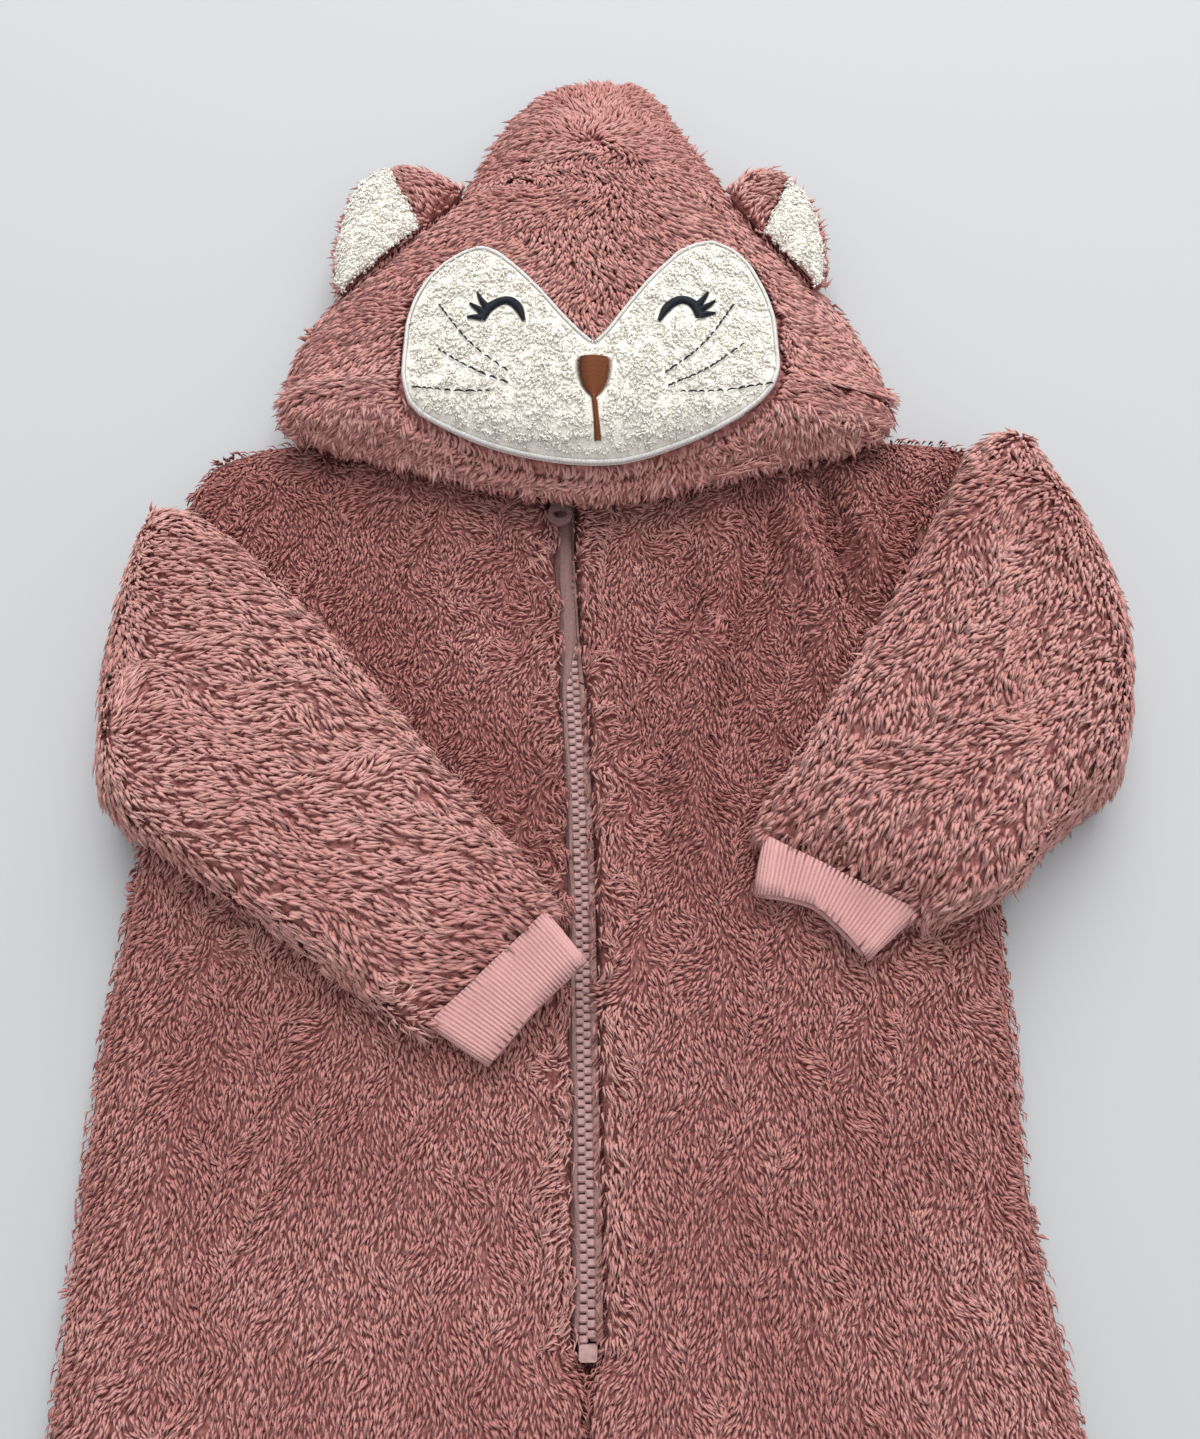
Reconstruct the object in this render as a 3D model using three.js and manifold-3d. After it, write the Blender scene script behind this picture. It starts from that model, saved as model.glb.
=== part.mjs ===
/* A toddler's hooded teddy-fleece onesie with an animal face on its hood, zipped up and laid on its back.
   Both sleeves are folded in over the front, and the hood is laid forward over the collar.

   Millimetres. +Z is up from the surface it lies on and +Y runs from the ankles to the hood's tip.
   Left and right are as seen from above with the hood at the top. */

import * as THREE from 'three';
import { mergeVertices } from 'three/addons/utils/BufferGeometryUtils.js';
import Module from 'manifold-3d';

const { lerp, clamp, degToRad } = THREE.MathUtils;

// ---- Driving sizes ----

const ORIGIN = { x: 8, y: 73 }; // the middle of the garment's box, in the sections' own X and Y
const SEAM = 0.3; // gap between two sewn pieces
const TOUCH = 1e-6; // numbers closer than this count as equal
const WALL = 10; // fleece cloth with its pile

const BACK_TOP = 10; // the back lies flat under everything
const FRONT_LEVEL = 24; // top of the front where it lies smooth
const PUFF = { rise: 4, width: 40 }; // how much higher the middle of each front stands
const SIDE_TOP = 13.5; // top of the front at its outer seams
const SIDE_ROUND = 18; // width of the rounding at the outer seams
const HEM_RISE = 8; // how far the back's underside curls up at its edge
const HEM_ROUND = 10; // width of that curl
const ZIP_DIP = { depth: 6.2, width: 16 }; // the fronts sink toward the zip
const SEAM_DIP = { depth: 2.5, width: 10 }; // and less toward the plain seam below it
const SHOULDER_POWER = 7; // how tightly the shoulders' corners turn
const NECK_SHARE = 0.4; // the share of each half's top edge that is the open neck
const ZIP_GAP_LEAST = 1; // a half gap wider than this holds the zip
const ZIP_EDGE_BULGE = 0.3; // the fronts' rims stand out less beside the zip
const FOLD_FADE = 0.85; // below 1, a fold is highest before its middle

const HOOD_SETBACK = { by: 9, over: 20 }; // the hidden layers end behind the hood's front edge
const HOOD_RISE = { lip: 4, under: 3, round: 22, inner: 26, shoulder: 10 };
const HOOD_ARCH = 2.2; // how square the hood is across
const HOOD_SWEEP = 1.3; // how late its front edge turns back toward the sides

const CUFF = { wall: 2.2, ribs: 78, ribDepth: 0.5, insidePoints: 39 };

const ZIP = {
  top: 287,
  bottom: -52.4,
  tapeHalf: 13,
  tapeGap: 0.4,
  tapeLow: 12.4,
  tapeHigh: 13.4,
  chainHalf: 2.9,
  chainLow: 13.7,
  chainHigh: 16.1,
  steps: 16,
};
const STOP = { width: 6.2, length: 5.4, height: 3.2, corner: 1 };
const SLIDER = { y: 281.5, width: 9, length: 11, plate: 1.8, corner: 3 };
const BOW = { half: 4, width: 1.8, wire: 1.3, aboveAxis: 2.6, corner: 2.4, innerCorner: 1.4 };
const PULL = {
  z: 22.8, // height of its turning axis
  thick: 1.6,
  ring: 5.2, // radius of its round end
  reach: 22.6, // from the axis to the middle of the round end
  neck: 3, // half width beside the slider
  neckEnd: 7, // where the neck starts to widen
  flare: 8, // how gently it widens into the round end
  shoulder: degToRad(40), // how far round the end the neck's sides meet it
  eye: { wide: 1.4, from: 0.8, to: 5.4 }, // the slot that the bow passes through
  hole: { wide: 3, high: 2.05 },
};
const CURVE_SEGMENTS = { corner: 3, bow: 4, pull: 12 };

// ---- Sections ----

/* The body and legs, one row for each level: outer edges, inner edges (the zip's line, then the legs'),
   and half the gap that the zip shows in. */
const BODY = [
  { y: 300, left: -166, leftInner: -17.6, rightInner: -17.6, right: 156, gap: 5.9 },
  { y: 290, left: -170, leftInner: -17, rightInner: -17, right: 153, gap: 5.9 },
  { y: 270, left: -173.5, leftInner: -16, rightInner: -16, right: 152, gap: 5.9 },
  { y: 258, left: -173.5, leftInner: -15.5, rightInner: -15.5, right: 152, gap: 3.7 },
  { y: 235, left: -173.5, leftInner: -14, rightInner: -14, right: 151, gap: 3.7 },
  { y: 200, left: -173, leftInner: -12, rightInner: -12, right: 150, gap: 3.7 },
  { y: 186, left: -173.5, leftInner: -11, rightInner: -11, right: 150, gap: 5 },
  { y: 100, left: -177, leftInner: -7, rightInner: -7, right: 150, gap: 5 },
  { y: 45, left: -181, leftInner: -6, rightInner: -6, right: 150, gap: 5 },
  { y: 0, left: -181, leftInner: -5, rightInner: -5, right: 149, gap: 5 },
  { y: -58, left: -181, leftInner: -4, rightInner: -4, right: 156, gap: 5 },
  { y: -66, left: -181, leftInner: -4, rightInner: -4, right: 157, gap: SEAM / 2 },
  { y: -116, left: -182, leftInner: -3, rightInner: -3, right: 162, gap: SEAM / 2 },
  { y: -124, left: -182, leftInner: -5, rightInner: -1, right: 162, gap: SEAM / 2 },
  { y: -160, left: -180, leftInner: -15, rightInner: 9, right: 162, gap: SEAM / 2 },
  { y: -220, left: -175, leftInner: -28, rightInner: 20, right: 158, gap: SEAM / 2 },
  { y: -280, left: -166, leftInner: -44, rightInner: 34, right: 150, gap: SEAM / 2 },
  { y: -320, left: -158, leftInner: -56, rightInner: 46, right: 142, gap: SEAM / 2 },
];
const CROTCH = -120;

/* How far a level drops at its outer ends, on each side. */
const SHOULDERS = [
  { y: 300, left: 14, right: 4 },
  { y: 290, left: 9, right: 2 },
  { y: 270, left: 3, right: 1 },
  { y: 235, left: 0, right: 0 },
];

/* Folds of the fronts: a ridge where rise is positive, a trough where it is negative. */
const FOLDS = [
  { fromX: 76, fromY: 268, toX: 102, toY: 184, width: 8, rise: 7.8 },
  { fromX: 87, fromY: 268, toX: 101, toY: 226, width: 5.5, rise: -7 },
  { fromX: 102, fromY: 268, toX: 116, toY: 222, width: 7, rise: 7 },
  { fromX: 31, fromY: 272, toX: 25, toY: 92, width: 12, rise: -4 },
  { fromX: 46, fromY: 272, toX: 42, toY: 112, width: 9, rise: 3 },
  { fromX: 61, fromY: 270, toX: 56, toY: 98, width: 9, rise: -3.5 },
  { fromX: -96, fromY: 262, toX: -70, toY: 150, width: 15, rise: -2.5 },
  { fromX: -150, fromY: 80, toX: -120, toY: -90, width: 16, rise: -3 },
  { fromX: 112, fromY: 60, toX: 96, toY: -100, width: 17, rise: -3 },
  { fromX: -120, fromY: -150, toX: -92, toY: -300, width: 13, rise: -3 },
  { fromX: 88, fromY: -140, toX: 104, toY: -290, width: 13, rise: -3 },
];

/* The sleeves, from the outer fold to the cuff: both ends of each section, how far its middle bows out
   from the body, and the heights of its underside and of its top. */
const SLEEVE_LEFT = [
  { upX: -185, upY: 255, lowX: -190.5, lowY: 137, bow: 7.5, floor: 0, top: 40 },
  { upX: -182, upY: 254, lowX: -185.5, lowY: 132, bow: 3.5, floor: 0, top: 46 },
  { upX: -179, upY: 253, lowX: -179.5, lowY: 128, bow: 0, floor: 10, top: 49 },
  { upX: -169, upY: 250, lowX: -170, lowY: 121, bow: 0, floor: 29, top: 51 },
  { upX: -150, upY: 239, lowX: -155, lowY: 110, bow: 0, floor: 29, top: 53 },
  { upX: -116, upY: 207, lowX: -128, lowY: 92, bow: 0, floor: 29, top: 53 },
  { upX: -82, upY: 169, lowX: -102, lowY: 75, bow: 0, floor: 29, top: 52 },
  { upX: -50, upY: 131, lowX: -81, lowY: 60, bow: 0, floor: 29, top: 48 },
  { upX: -25, upY: 99, lowX: -67, lowY: 52, bow: 0, floor: 29, top: 43 },
  { upX: -19.5, upY: 90.5, lowX: -61, lowY: 50, bow: 0, floor: 29, top: 39.5 },
];
const SLEEVE_RIGHT = [
  { upX: 178, upY: 296, lowX: 199, lowY: 142, bow: 23, floor: 0, top: 40 },
  { upX: 168, upY: 294.5, lowX: 184, lowY: 132, bow: 16, floor: 0, top: 47 },
  { upX: 159.5, upY: 289, lowX: 163, lowY: 114, bow: 5, floor: 0, top: 50 },
  { upX: 155.5, upY: 283, lowX: 156.5, lowY: 107, bow: 0, floor: 12, top: 51 },
  { upX: 146, upY: 266, lowX: 147, lowY: 100, bow: 0, floor: 29, top: 53 },
  { upX: 131, upY: 236, lowX: 139, lowY: 95, bow: 0, floor: 29, top: 54 },
  { upX: 107, upY: 197, lowX: 131, lowY: 91, bow: 0, floor: 29, top: 53 },
  { upX: 83, upY: 159, lowX: 124, lowY: 88.5, bow: 0, floor: 29, top: 49 },
  { upX: 64, upY: 129, lowX: 119, lowY: 88.5, bow: 0, floor: 29, top: 43 },
  { upX: 60.5, upY: 119, lowX: 116, lowY: 90, bow: 0, floor: 29, top: 39.5 },
];
const SLEEVE_ROUND = { width: 20, from: 0.58 }; // its top rounds off from this share of its height

/* The hood from its front edge to its tip: side edges, how far the ends of the row lie behind its middle,
   height along the middle, height of its side seam and of what it lies on. */
const HOOD = [
  { y: 261, left: -115, right: 109, bow: 27, peak: 51, edge: 39, floor: 33 },
  { y: 271, left: -122, right: 113, bow: 20, peak: 57, edge: 39, floor: 33 },
  { y: 283, left: -127, right: 116.2, bow: 12, peak: 60, edge: 38, floor: 33 },
  { y: 302.6, left: -130, right: 118.8, bow: 0, peak: 61.8, edge: 36.3, floor: 33 },
  { y: 303.6, left: -130.2, right: 119, bow: 0, peak: 61.9, edge: 35.6, floor: 0 },
  { y: 315, left: -131.5, right: 120, bow: 0, peak: 62.5, edge: 24, floor: 0 },
  { y: 335, left: -131, right: 117, bow: 0, peak: 62, edge: 18, floor: 0 },
  { y: 354, left: -126, right: 110, bow: 0, peak: 61, edge: 15, floor: 0 },
  { y: 374, left: -113, right: 97, bow: 0, peak: 58, edge: 14, floor: 0 },
  { y: 400, left: -88, right: 78, bow: 0, peak: 53, edge: 14, floor: 0 },
  { y: 426, left: -64, right: 60, bow: 0, peak: 47, edge: 13.5, floor: 0 },
  { y: 448, left: -53, right: 48, bow: 0, peak: 41, edge: 13, floor: 0 },
  { y: 469, left: -43.5, right: 36, bow: 0, peak: 35, edge: 13, floor: 0 },
  { y: 487, left: -31, right: 27, bow: 0, peak: 29, edge: 13, floor: 0 },
  { y: 496.5, left: -16, right: 18, bow: 0, peak: 25, edge: 12.5, floor: 0 },
];

/* The face's outline: its lower and upper edges across the hood. */
const FACE = [
  { x: -80, low: 302.5, high: 332 },
  { x: -77, low: 290, high: 345 },
  { x: -68, low: 283, high: 359 },
  { x: -50, low: 275, high: 368 },
  { x: -34, low: 270, high: 353 },
  { x: -19, low: 267, high: 334 },
  { x: -9, low: 265.7, high: 320 },
  { x: -2, low: 265.2, high: 312.5 },
  { x: 5, low: 265.7, high: 324 },
  { x: 17, low: 268, high: 343 },
  { x: 34, low: 273.5, high: 366 },
  { x: 51, low: 281, high: 376 },
  { x: 63, low: 289, high: 367 },
  { x: 70, low: 297, high: 350 },
  { x: 73, low: 307, high: 336 },
];
const FACE_CLOTH = { thick: 3.2, lift: 1.4, round: 6, rim: 0.5 };

/* The ears, from the end nearer the hood's tip to the other: the root, the rim and how much the
   outer cloth rolls over the front there. */
const EAR_LEFT = [
  { rootX: -62, rootY: 418, rimX: -65, rimY: 424, roll: 1 },
  { rootX: -68, rootY: 410, rimX: -77, rimY: 434, roll: 1 },
  { rootX: -75, rootY: 402, rimX: -90, rimY: 438, roll: 1 },
  { rootX: -80, rootY: 396, rimX: -97, rimY: 437, roll: 0 },
  { rootX: -88, rootY: 388, rimX: -110, rimY: 427, roll: 0 },
  { rootX: -98, rootY: 378, rimX: -116, rimY: 409, roll: 0 },
  { rootX: -107, rootY: 370, rimX: -118, rimY: 391, roll: 0 },
  { rootX: -113, rootY: 364, rimX: -117, rimY: 373, roll: 0 },
];
const EAR_RIGHT = [
  { rootX: 58, rootY: 419, rimX: 61, rimY: 425, roll: 1 },
  { rootX: 62, rootY: 411, rimX: 69, rimY: 435, roll: 1 },
  { rootX: 68, rootY: 403, rimX: 80, rimY: 436, roll: 1 },
  { rootX: 73, rootY: 396, rimX: 87, rimY: 431, roll: 0 },
  { rootX: 80, rootY: 388, rimX: 95, rimY: 419, roll: 0 },
  { rootX: 86, rootY: 380, rimX: 99, rimY: 404, roll: 0 },
  { rootX: 91, rootY: 373, rimX: 100, rimY: 388, roll: 0 },
  { rootX: 95, rootY: 367, rimX: 99, rimY: 375, roll: 0 },
];
const EAR = {
  seat: SEAM, // the root stands this far off the hood
  clear: 3.2, // the rest keeps this far from it
  clearFrom: 0.35, // from this share of its width on
  rimLow: 20,
  droop: 0.8, // below 1, the ear falls away fastest at its root
  outer: 6,
  rolled: 12,
  rollRound: 9,
  inner: 5.5,
  innerRim: 0.35,
  innerRound: 8,
};

/* The cuffs: where each meets its sleeve or leg and where it ends, as points across it. */
const WRIST_LEFT = {
  sleeve: SLEEVE_LEFT,
  mouth: [[-4.5, 73], [-23, 55], [-39, 36]],
  seamHigh: 8,
  mouthHigh: 6.4,
  floor: 29.2,
};
const WRIST_RIGHT = {
  sleeve: SLEEVE_RIGHT,
  mouth: [[55.5, 96.5], [67, 95], [78, 92], [87, 83], [96, 72.5]],
  seamHigh: 8,
  mouthHigh: 8.2,
  floor: 29.2,
};
const ANKLES = {
  left: {
    seam: [[-145, -320.8], [-107, -320.8], [-69, -320.8]],
    mouth: [[-141, -352], [-105, -353], [-69, -352]],
  },
  right: {
    seam: [[57, -320.8], [95, -320.8], [133, -320.8]],
    mouth: [[57, -352], [93, -353], [129, -352]],
  },
};
const ANKLE_HIGH = 7.5;

/* Where each sheet is sampled: along its sections and, as shares from 0 to 1, across them. */
const CHEST = { from: 300, to: 90, plainRows: 9, foldedRows: 12 };
const BELOW_CHEST = [
  60, 30, 0, -28, -52, -58, -66, -90, -116, -124, -142, -165, -200, -240, -280, -305, -320,
];
const PLAIN_FRONT = [0, 0.02, 0.06, 0.12, 0.24, 0.4, 0.56, 0.72, 0.85, 0.93, 0.98, 1];
const FOLDED_FRONT = [
  0, 0.02, 0.06, 0.12, 0.2, 0.28, 0.34, 0.4, 0.45, 0.5, 0.545, 0.59, 0.635, 0.68, 0.73, 0.79, 0.86, 0.94,
  0.98, 1,
];
const BACK_LEVELS = [
  300, 288, 272, 254, 225, 190, 140, 90, 45, 0, -58, -116, -124, -160, -220, -280, -308, -320,
];
const BACK_SHARES = [0, 0.04, 0.14, 0.4, 0.65, 0.85, 0.94, 0.98, 1];
const SLEEVE_PLACES = [0, 0.5, 1, 2, 3, 3.5, 4, 4.6, 5.2, 5.8, 6.4, 7, 7.6, 8.2, 8.7, 9];
const SLEEVE_SHARES = [0, 0.03, 0.09, 0.2, 0.35, 0.5, 0.65, 0.8, 0.91, 0.97, 1];
const HOOD_LEVELS = [
  261, 263, 266.5, 273, 281, 291, 302.6, 303.6, 315, 330, 345, 360, 378, 396, 412, 428, 444, 459, 473,
  484, 492, 496.5,
];
const HOOD_SHARES = [0, 0.02, 0.06, 0.14, 0.26, 0.38, 0.5, 0.62, 0.74, 0.86, 0.94, 0.98, 1];
const FACE_ACROSS = [-80, -77, -72, -65, -57, -50, -42, -34, -24, -13, -2, 9, 20, 32, 40, 48, 57, 64, 70, 73];
const FACE_SHARES = [0, 0.04, 0.1, 0.2, 0.4, 0.65, 0.92, 1];
const EAR_PLACES = [0, 0.5, 1, 1.5, 2, 2.3, 2.7, 3, 3.5, 4, 4.5, 5, 5.5, 6, 6.5, 7];
const EAR_SHARES = [0, 0.12, 0.35, 0.6, 0.82, 0.95, 1];

/* The rings round each piece's rim: level runs from 0 at its top to 1 at its bottom, and out is how far
   the ring stands out. */
const RIMS = {
  front: [{ level: 0.45, out: 1.8 }],
  back: [{ level: 0.5, out: 0.1 }],
  sleeve: [{ level: 0.3, out: 2 }, { level: 0.55, out: 0.6 }, { level: 0.8, out: 1.8 }],
  hoodCrown: [{ level: 0.35, out: 2.6 }, { level: 0.75, out: 2.2 }],
  hoodUnder: [{ level: 0.3, out: 1.6 }, { level: 0.75, out: 1 }],
  face: [{ level: 0.5, out: 0.5 }],
  earOuter: [{ level: 0.5, out: 1.2 }],
  earInner: [{ level: 0.5, out: 0.4 }],
};

// ---- Finishes ----

const finish = (color, roughness, metalness = 0) =>
  new THREE.MeshStandardMaterial({ color, roughness, metalness });
const fleece = finish(0xaa7370, 0.95);
const sherpa = finish(0xe4e0d6, 0.95);
const ribbing = finish(0xc38c8a, 0.9);
const tape = finish(0xb78d8b, 0.85);
const plastic = finish(0xaf8c8a, 0.45);
const paintedMetal = finish(0xa98785, 0.4, 0.4);

// ---- Helpers ----

const wasm = await Module();
wasm.setup();

/* Reads a table of sections at any place along one column, on curves that never pass beyond its rows. */
function sectionAt(rows, along, place) {
  const rising = rows[1][along] > rows[0][along];
  const beyond = (row) => (rising ? row[along] >= place : row[along] <= place);
  const found = rows.findIndex(beyond);
  const next = found < 0 ? rows.length - 1 : Math.max(found, 1);
  const share = clamp((place - rows[next - 1][along]) / (rows[next][along] - rows[next - 1][along]), 0, 1);
  const section = {};
  for (const key of Object.keys(rows[0])) {
    section[key] = curveBetween(rows, along, key, next, share);
  }
  return section;
}

function curveBetween(rows, along, key, next, share) {
  const length = rows[next][along] - rows[next - 1][along];
  const before = slopeAt(rows, along, key, next - 1) * length;
  const after = slopeAt(rows, along, key, next) * length;
  const from = rows[next - 1][key];
  const to = rows[next][key];
  const cubed = share ** 3;
  const squared = share ** 2;
  return (
    from * (2 * cubed - 3 * squared + 1) +
    before * (cubed - 2 * squared + share) +
    to * (3 * squared - 2 * cubed) +
    after * (cubed - squared)
  );
}

/* Flat at a turning point and at both ends, and otherwise the harmonic mean of the slopes beside it. */
function slopeAt(rows, along, key, k) {
  if (k === 0 || k === rows.length - 1) {
    return 0;
  }
  const slope = (j) => (rows[j][key] - rows[j - 1][key]) / (rows[j][along] - rows[j - 1][along]);
  const [before, after] = [slope(k), slope(k + 1)];
  return before * after > 0 ? (2 * before * after) / (before + after) : 0;
}

/* Gives a list of sections without a place of their own a running number. */
const numbered = (rows) => rows.map((row, at) => ({ at, ...row }));

const steps = (from, to, count) => Array.from({ length: count + 1 }, (_, k) => lerp(from, to, k / count));

/* From 0 at an edge to 1 at a distance from it, along a quarter of an ellipse. */
const rounded = (distance, width) => Math.sqrt(1 - (1 - clamp(distance / width, 0, 1)) ** 2);

function distanceTo(line, x, y) {
  let nearest = Infinity;
  for (let k = 1; k < line.length; k += 1) {
    const [ax, ay] = line[k - 1];
    const [bx, by] = line[k];
    const square = Math.max((bx - ax) ** 2 + (by - ay) ** 2, TOUCH);
    const share = clamp(((x - ax) * (bx - ax) + (y - ay) * (by - ay)) / square, 0, 1);
    nearest = Math.min(nearest, Math.hypot(x - lerp(ax, bx, share), y - lerp(ay, by, share)));
  }
  return nearest;
}

/* The places round the edge of a grid, once round, as [row, column]. */
function edgeOf(grid) {
  const last = { row: grid.length - 1, column: grid[0].length - 1 };
  const loop = [];
  for (let i = 0; i < last.column; i += 1) {
    loop.push([0, i]);
  }
  for (let j = 0; j < last.row; j += 1) {
    loop.push([j, last.column]);
  }
  for (let i = last.column; i > 0; i -= 1) {
    loop.push([last.row, i]);
  }
  for (let j = last.row; j > 0; j -= 1) {
    loop.push([j, 0]);
  }
  return loop;
}

const lineOf = (grid, loop) => loop.map(([j, i]) => [grid[j][i].x, grid[j][i].y]);

/* The closed line round a grid. */
function edgeLine(grid) {
  const line = lineOf(grid, edgeOf(grid));
  return [...line, line[0]];
}

function signedArea(line) {
  return line.reduce((sum, [x, y], k) => {
    const [nextX, nextY] = line[(k + 1) % line.length];
    return sum + (x * nextY - nextX * y) / 2;
  }, 0);
}

/* A closed piece of cloth over a grid of places {x, y, top, bottom}. Its rim has a ring for each entry of
   rim: level runs from 0 at the top to 1 at the bottom, and out is how far the ring stands out, which
   a place may scale by its own bulge. */
function clothSolid(grid, rim) {
  const columns = grid[0].length;
  const faceSize = grid.length * columns;
  const loop = edgeOf(grid);
  const line = lineOf(grid, loop);
  const turn = Math.sign(signedArea(line));
  const positions = [];
  for (const face of ['top', 'bottom']) {
    grid.flat().forEach((place) => positions.push(place.x, place.y, place[face]));
  }
  for (const { level, out } of rim) {
    loop.forEach(([j, i], k) => {
      const place = grid[j][i];
      const [backX, backY] = line[(k + line.length - 1) % line.length];
      const [aheadX, aheadY] = line[(k + 1) % line.length];
      const length = Math.hypot(aheadX - backX, aheadY - backY);
      const far = (turn * out * (place.bulge ?? 1)) / length;
      const x = place.x + far * (aheadY - backY);
      const y = place.y - far * (aheadX - backX);
      positions.push(x, y, lerp(place.top, place.bottom, level));
    });
  }
  const index = [];
  const addTriangle = (a, b, c) => (turn > 0 ? index.push(a, b, c) : index.push(a, c, b));
  const addQuad = (a, b, c, d) => {
    addTriangle(a, b, c);
    addTriangle(a, c, d);
  };
  for (let j = 0; j + 1 < grid.length; j += 1) {
    for (let i = 0; i + 1 < columns; i += 1) {
      const a = j * columns + i;
      addQuad(a, a + 1, a + columns + 1, a + columns);
      addQuad(faceSize + a, faceSize + a + columns, faceSize + a + columns + 1, faceSize + a + 1);
    }
  }
  const ringAt = (ring, k) => {
    const [j, i] = loop[k % loop.length];
    const place = j * columns + i;
    if (ring < 0) {
      return place;
    }
    return ring < rim.length ? 2 * faceSize + ring * loop.length + (k % loop.length) : faceSize + place;
  };
  for (let ring = -1; ring < rim.length; ring += 1) {
    for (let k = 0; k < loop.length; k += 1) {
      addQuad(ringAt(ring, k), ringAt(ring + 1, k), ringAt(ring + 1, k + 1), ringAt(ring, k + 1));
    }
  }
  return geometryOf(positions, index);
}

function geometryOf(positions, index) {
  const geometry = new THREE.BufferGeometry();
  geometry.setAttribute('position', new THREE.Float32BufferAttribute(positions, 3));
  geometry.setIndex(index);
  geometry.translate(-ORIGIN.x, -ORIGIN.y, 0);
  return geometry;
}

const onesie = new THREE.Group();

function addPiece(name, geometry, material, group = onesie) {
  const mesh = new THREE.Mesh(geometry, material);
  mesh.name = name;
  group.add(mesh);
  return mesh;
}

// ---- Body and legs ----

/* How much the folds lift or sink the front at a place. Each fades toward its ends. */
function foldRise(x, y) {
  return FOLDS.reduce((sum, fold) => {
    const [alongX, alongY] = [fold.toX - fold.fromX, fold.toY - fold.fromY];
    const length = Math.hypot(alongX, alongY);
    const share = ((x - fold.fromX) * alongX + (y - fold.fromY) * alongY) / length ** 2;
    if (share < 0 || share > 1) {
      return sum;
    }
    const aside = ((x - fold.fromX) * alongY - (y - fold.fromY) * alongX) / length;
    const fade = Math.sin(Math.PI * share ** FOLD_FADE);
    return sum + fold.rise * fade * Math.exp(-((aside / fold.width) ** 2));
  }, 0);
}

/* Places of one half of the body, from its inner to its outer edge, with their distances from the
   outer seams and from the middle. */
function halfBody(side, levels, shares, innerGap) {
  const outward = side === 'left' ? -1 : 1;
  const grid = levels.map((level) => {
    const row = sectionAt(BODY, 'y', level);
    const inner = row[`${side}Inner`] + outward * innerGap(row);
    const drop = sectionAt(SHOULDERS, 'y', level)[side];
    return shares.map((share) => ({
      x: lerp(inner, row[side], share),
      y: level - drop * share ** SHOULDER_POWER,
      share,
      gap: row.gap,
    }));
  });
  const last = shares.length - 1;
  const inLeg = grid.filter((row) => row[0].y < CROTCH);
  const outerLine = [
    ...grid[0].filter((place) => place.share > NECK_SHARE).map((place) => [place.x, place.y]),
    ...grid.map((row) => [row[last].x, row[last].y]),
    ...grid.at(-1).map((place) => [place.x, place.y]).reverse(),
    ...inLeg.map((row) => [row[0].x, row[0].y]).reverse(),
  ];
  const middleLine = grid.filter((row) => row[0].y >= CROTCH).map((row) => [row[0].x, row[0].y]);
  grid.flat().forEach((place) => {
    place.fromSide = distanceTo(outerLine, place.x, place.y);
    place.fromMiddle = distanceTo(middleLine, place.x, place.y);
  });
  return grid;
}

/* How far a front's rim may stand out at a place: nothing where it is sewn and little beside the zip. */
function frontBulge(place, zipped, sewnLevel) {
  const onMiddle = place.fromMiddle === 0;
  if (place.y === sewnLevel || (onMiddle && !zipped)) {
    return 0;
  }
  return onMiddle ? ZIP_EDGE_BULGE : 1;
}

function frontPanel(side, shares, chestRows) {
  const levels = [...steps(CHEST.from, CHEST.to, chestRows), ...BELOW_CHEST];
  const grid = halfBody(side, levels, shares, (row) => row.gap);
  for (const place of grid.flat()) {
    const zipped = place.gap > ZIP_GAP_LEAST;
    const dip = zipped ? ZIP_DIP : SEAM_DIP;
    const inward = rounded(place.fromSide, SIDE_ROUND);
    const puff = PUFF.rise * Math.sin(Math.PI * place.share) * rounded(place.fromSide, PUFF.width);
    const sunk = dip.depth * (1 - rounded(place.fromMiddle, dip.width));
    place.top = lerp(SIDE_TOP, FRONT_LEVEL, inward) + puff + foldRise(place.x, place.y) * inward - sunk;
    const raised = Math.max(0, place.top - FRONT_LEVEL) * inward;
    place.bottom = lerp(BACK_TOP + SEAM, FRONT_LEVEL - WALL, inward) + raised;
    place.bulge = frontBulge(place, zipped, levels.at(-1));
  }
  return clothSolid(grid, RIMS.front);
}

function backPanel(side) {
  const grid = halfBody(side, BACK_LEVELS, BACK_SHARES, () => SEAM / 2);
  for (const place of grid.flat()) {
    place.top = BACK_TOP;
    place.bottom = HEM_RISE * (1 - rounded(place.fromSide, HEM_ROUND));
  }
  return clothSolid(grid, RIMS.back);
}

// ---- Sleeves ----

function sleeve(sections) {
  const rows = numbered(sections);
  const outside = Math.sign(sections[0].lowX);
  const grid = SLEEVE_PLACES.map((place) => {
    const row = sectionAt(rows, 'at', place);
    return SLEEVE_SHARES.map((share) => ({
      x: lerp(row.upX, row.lowX, share) + outside * row.bow * Math.sin(Math.PI * share),
      y: lerp(row.upY, row.lowY, share),
      full: row.top,
      bottom: row.floor,
      bulge: place === SLEEVE_PLACES.at(-1) ? 0 : 1,
    }));
  });
  const line = edgeLine(grid);
  for (const place of grid.flat()) {
    const low = lerp(place.bottom, place.full, SLEEVE_ROUND.from);
    place.top = lerp(low, place.full, rounded(distanceTo(line, place.x, place.y), SLEEVE_ROUND.width));
  }
  return clothSolid(grid, RIMS.sleeve);
}

// ---- Hood ----

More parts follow.
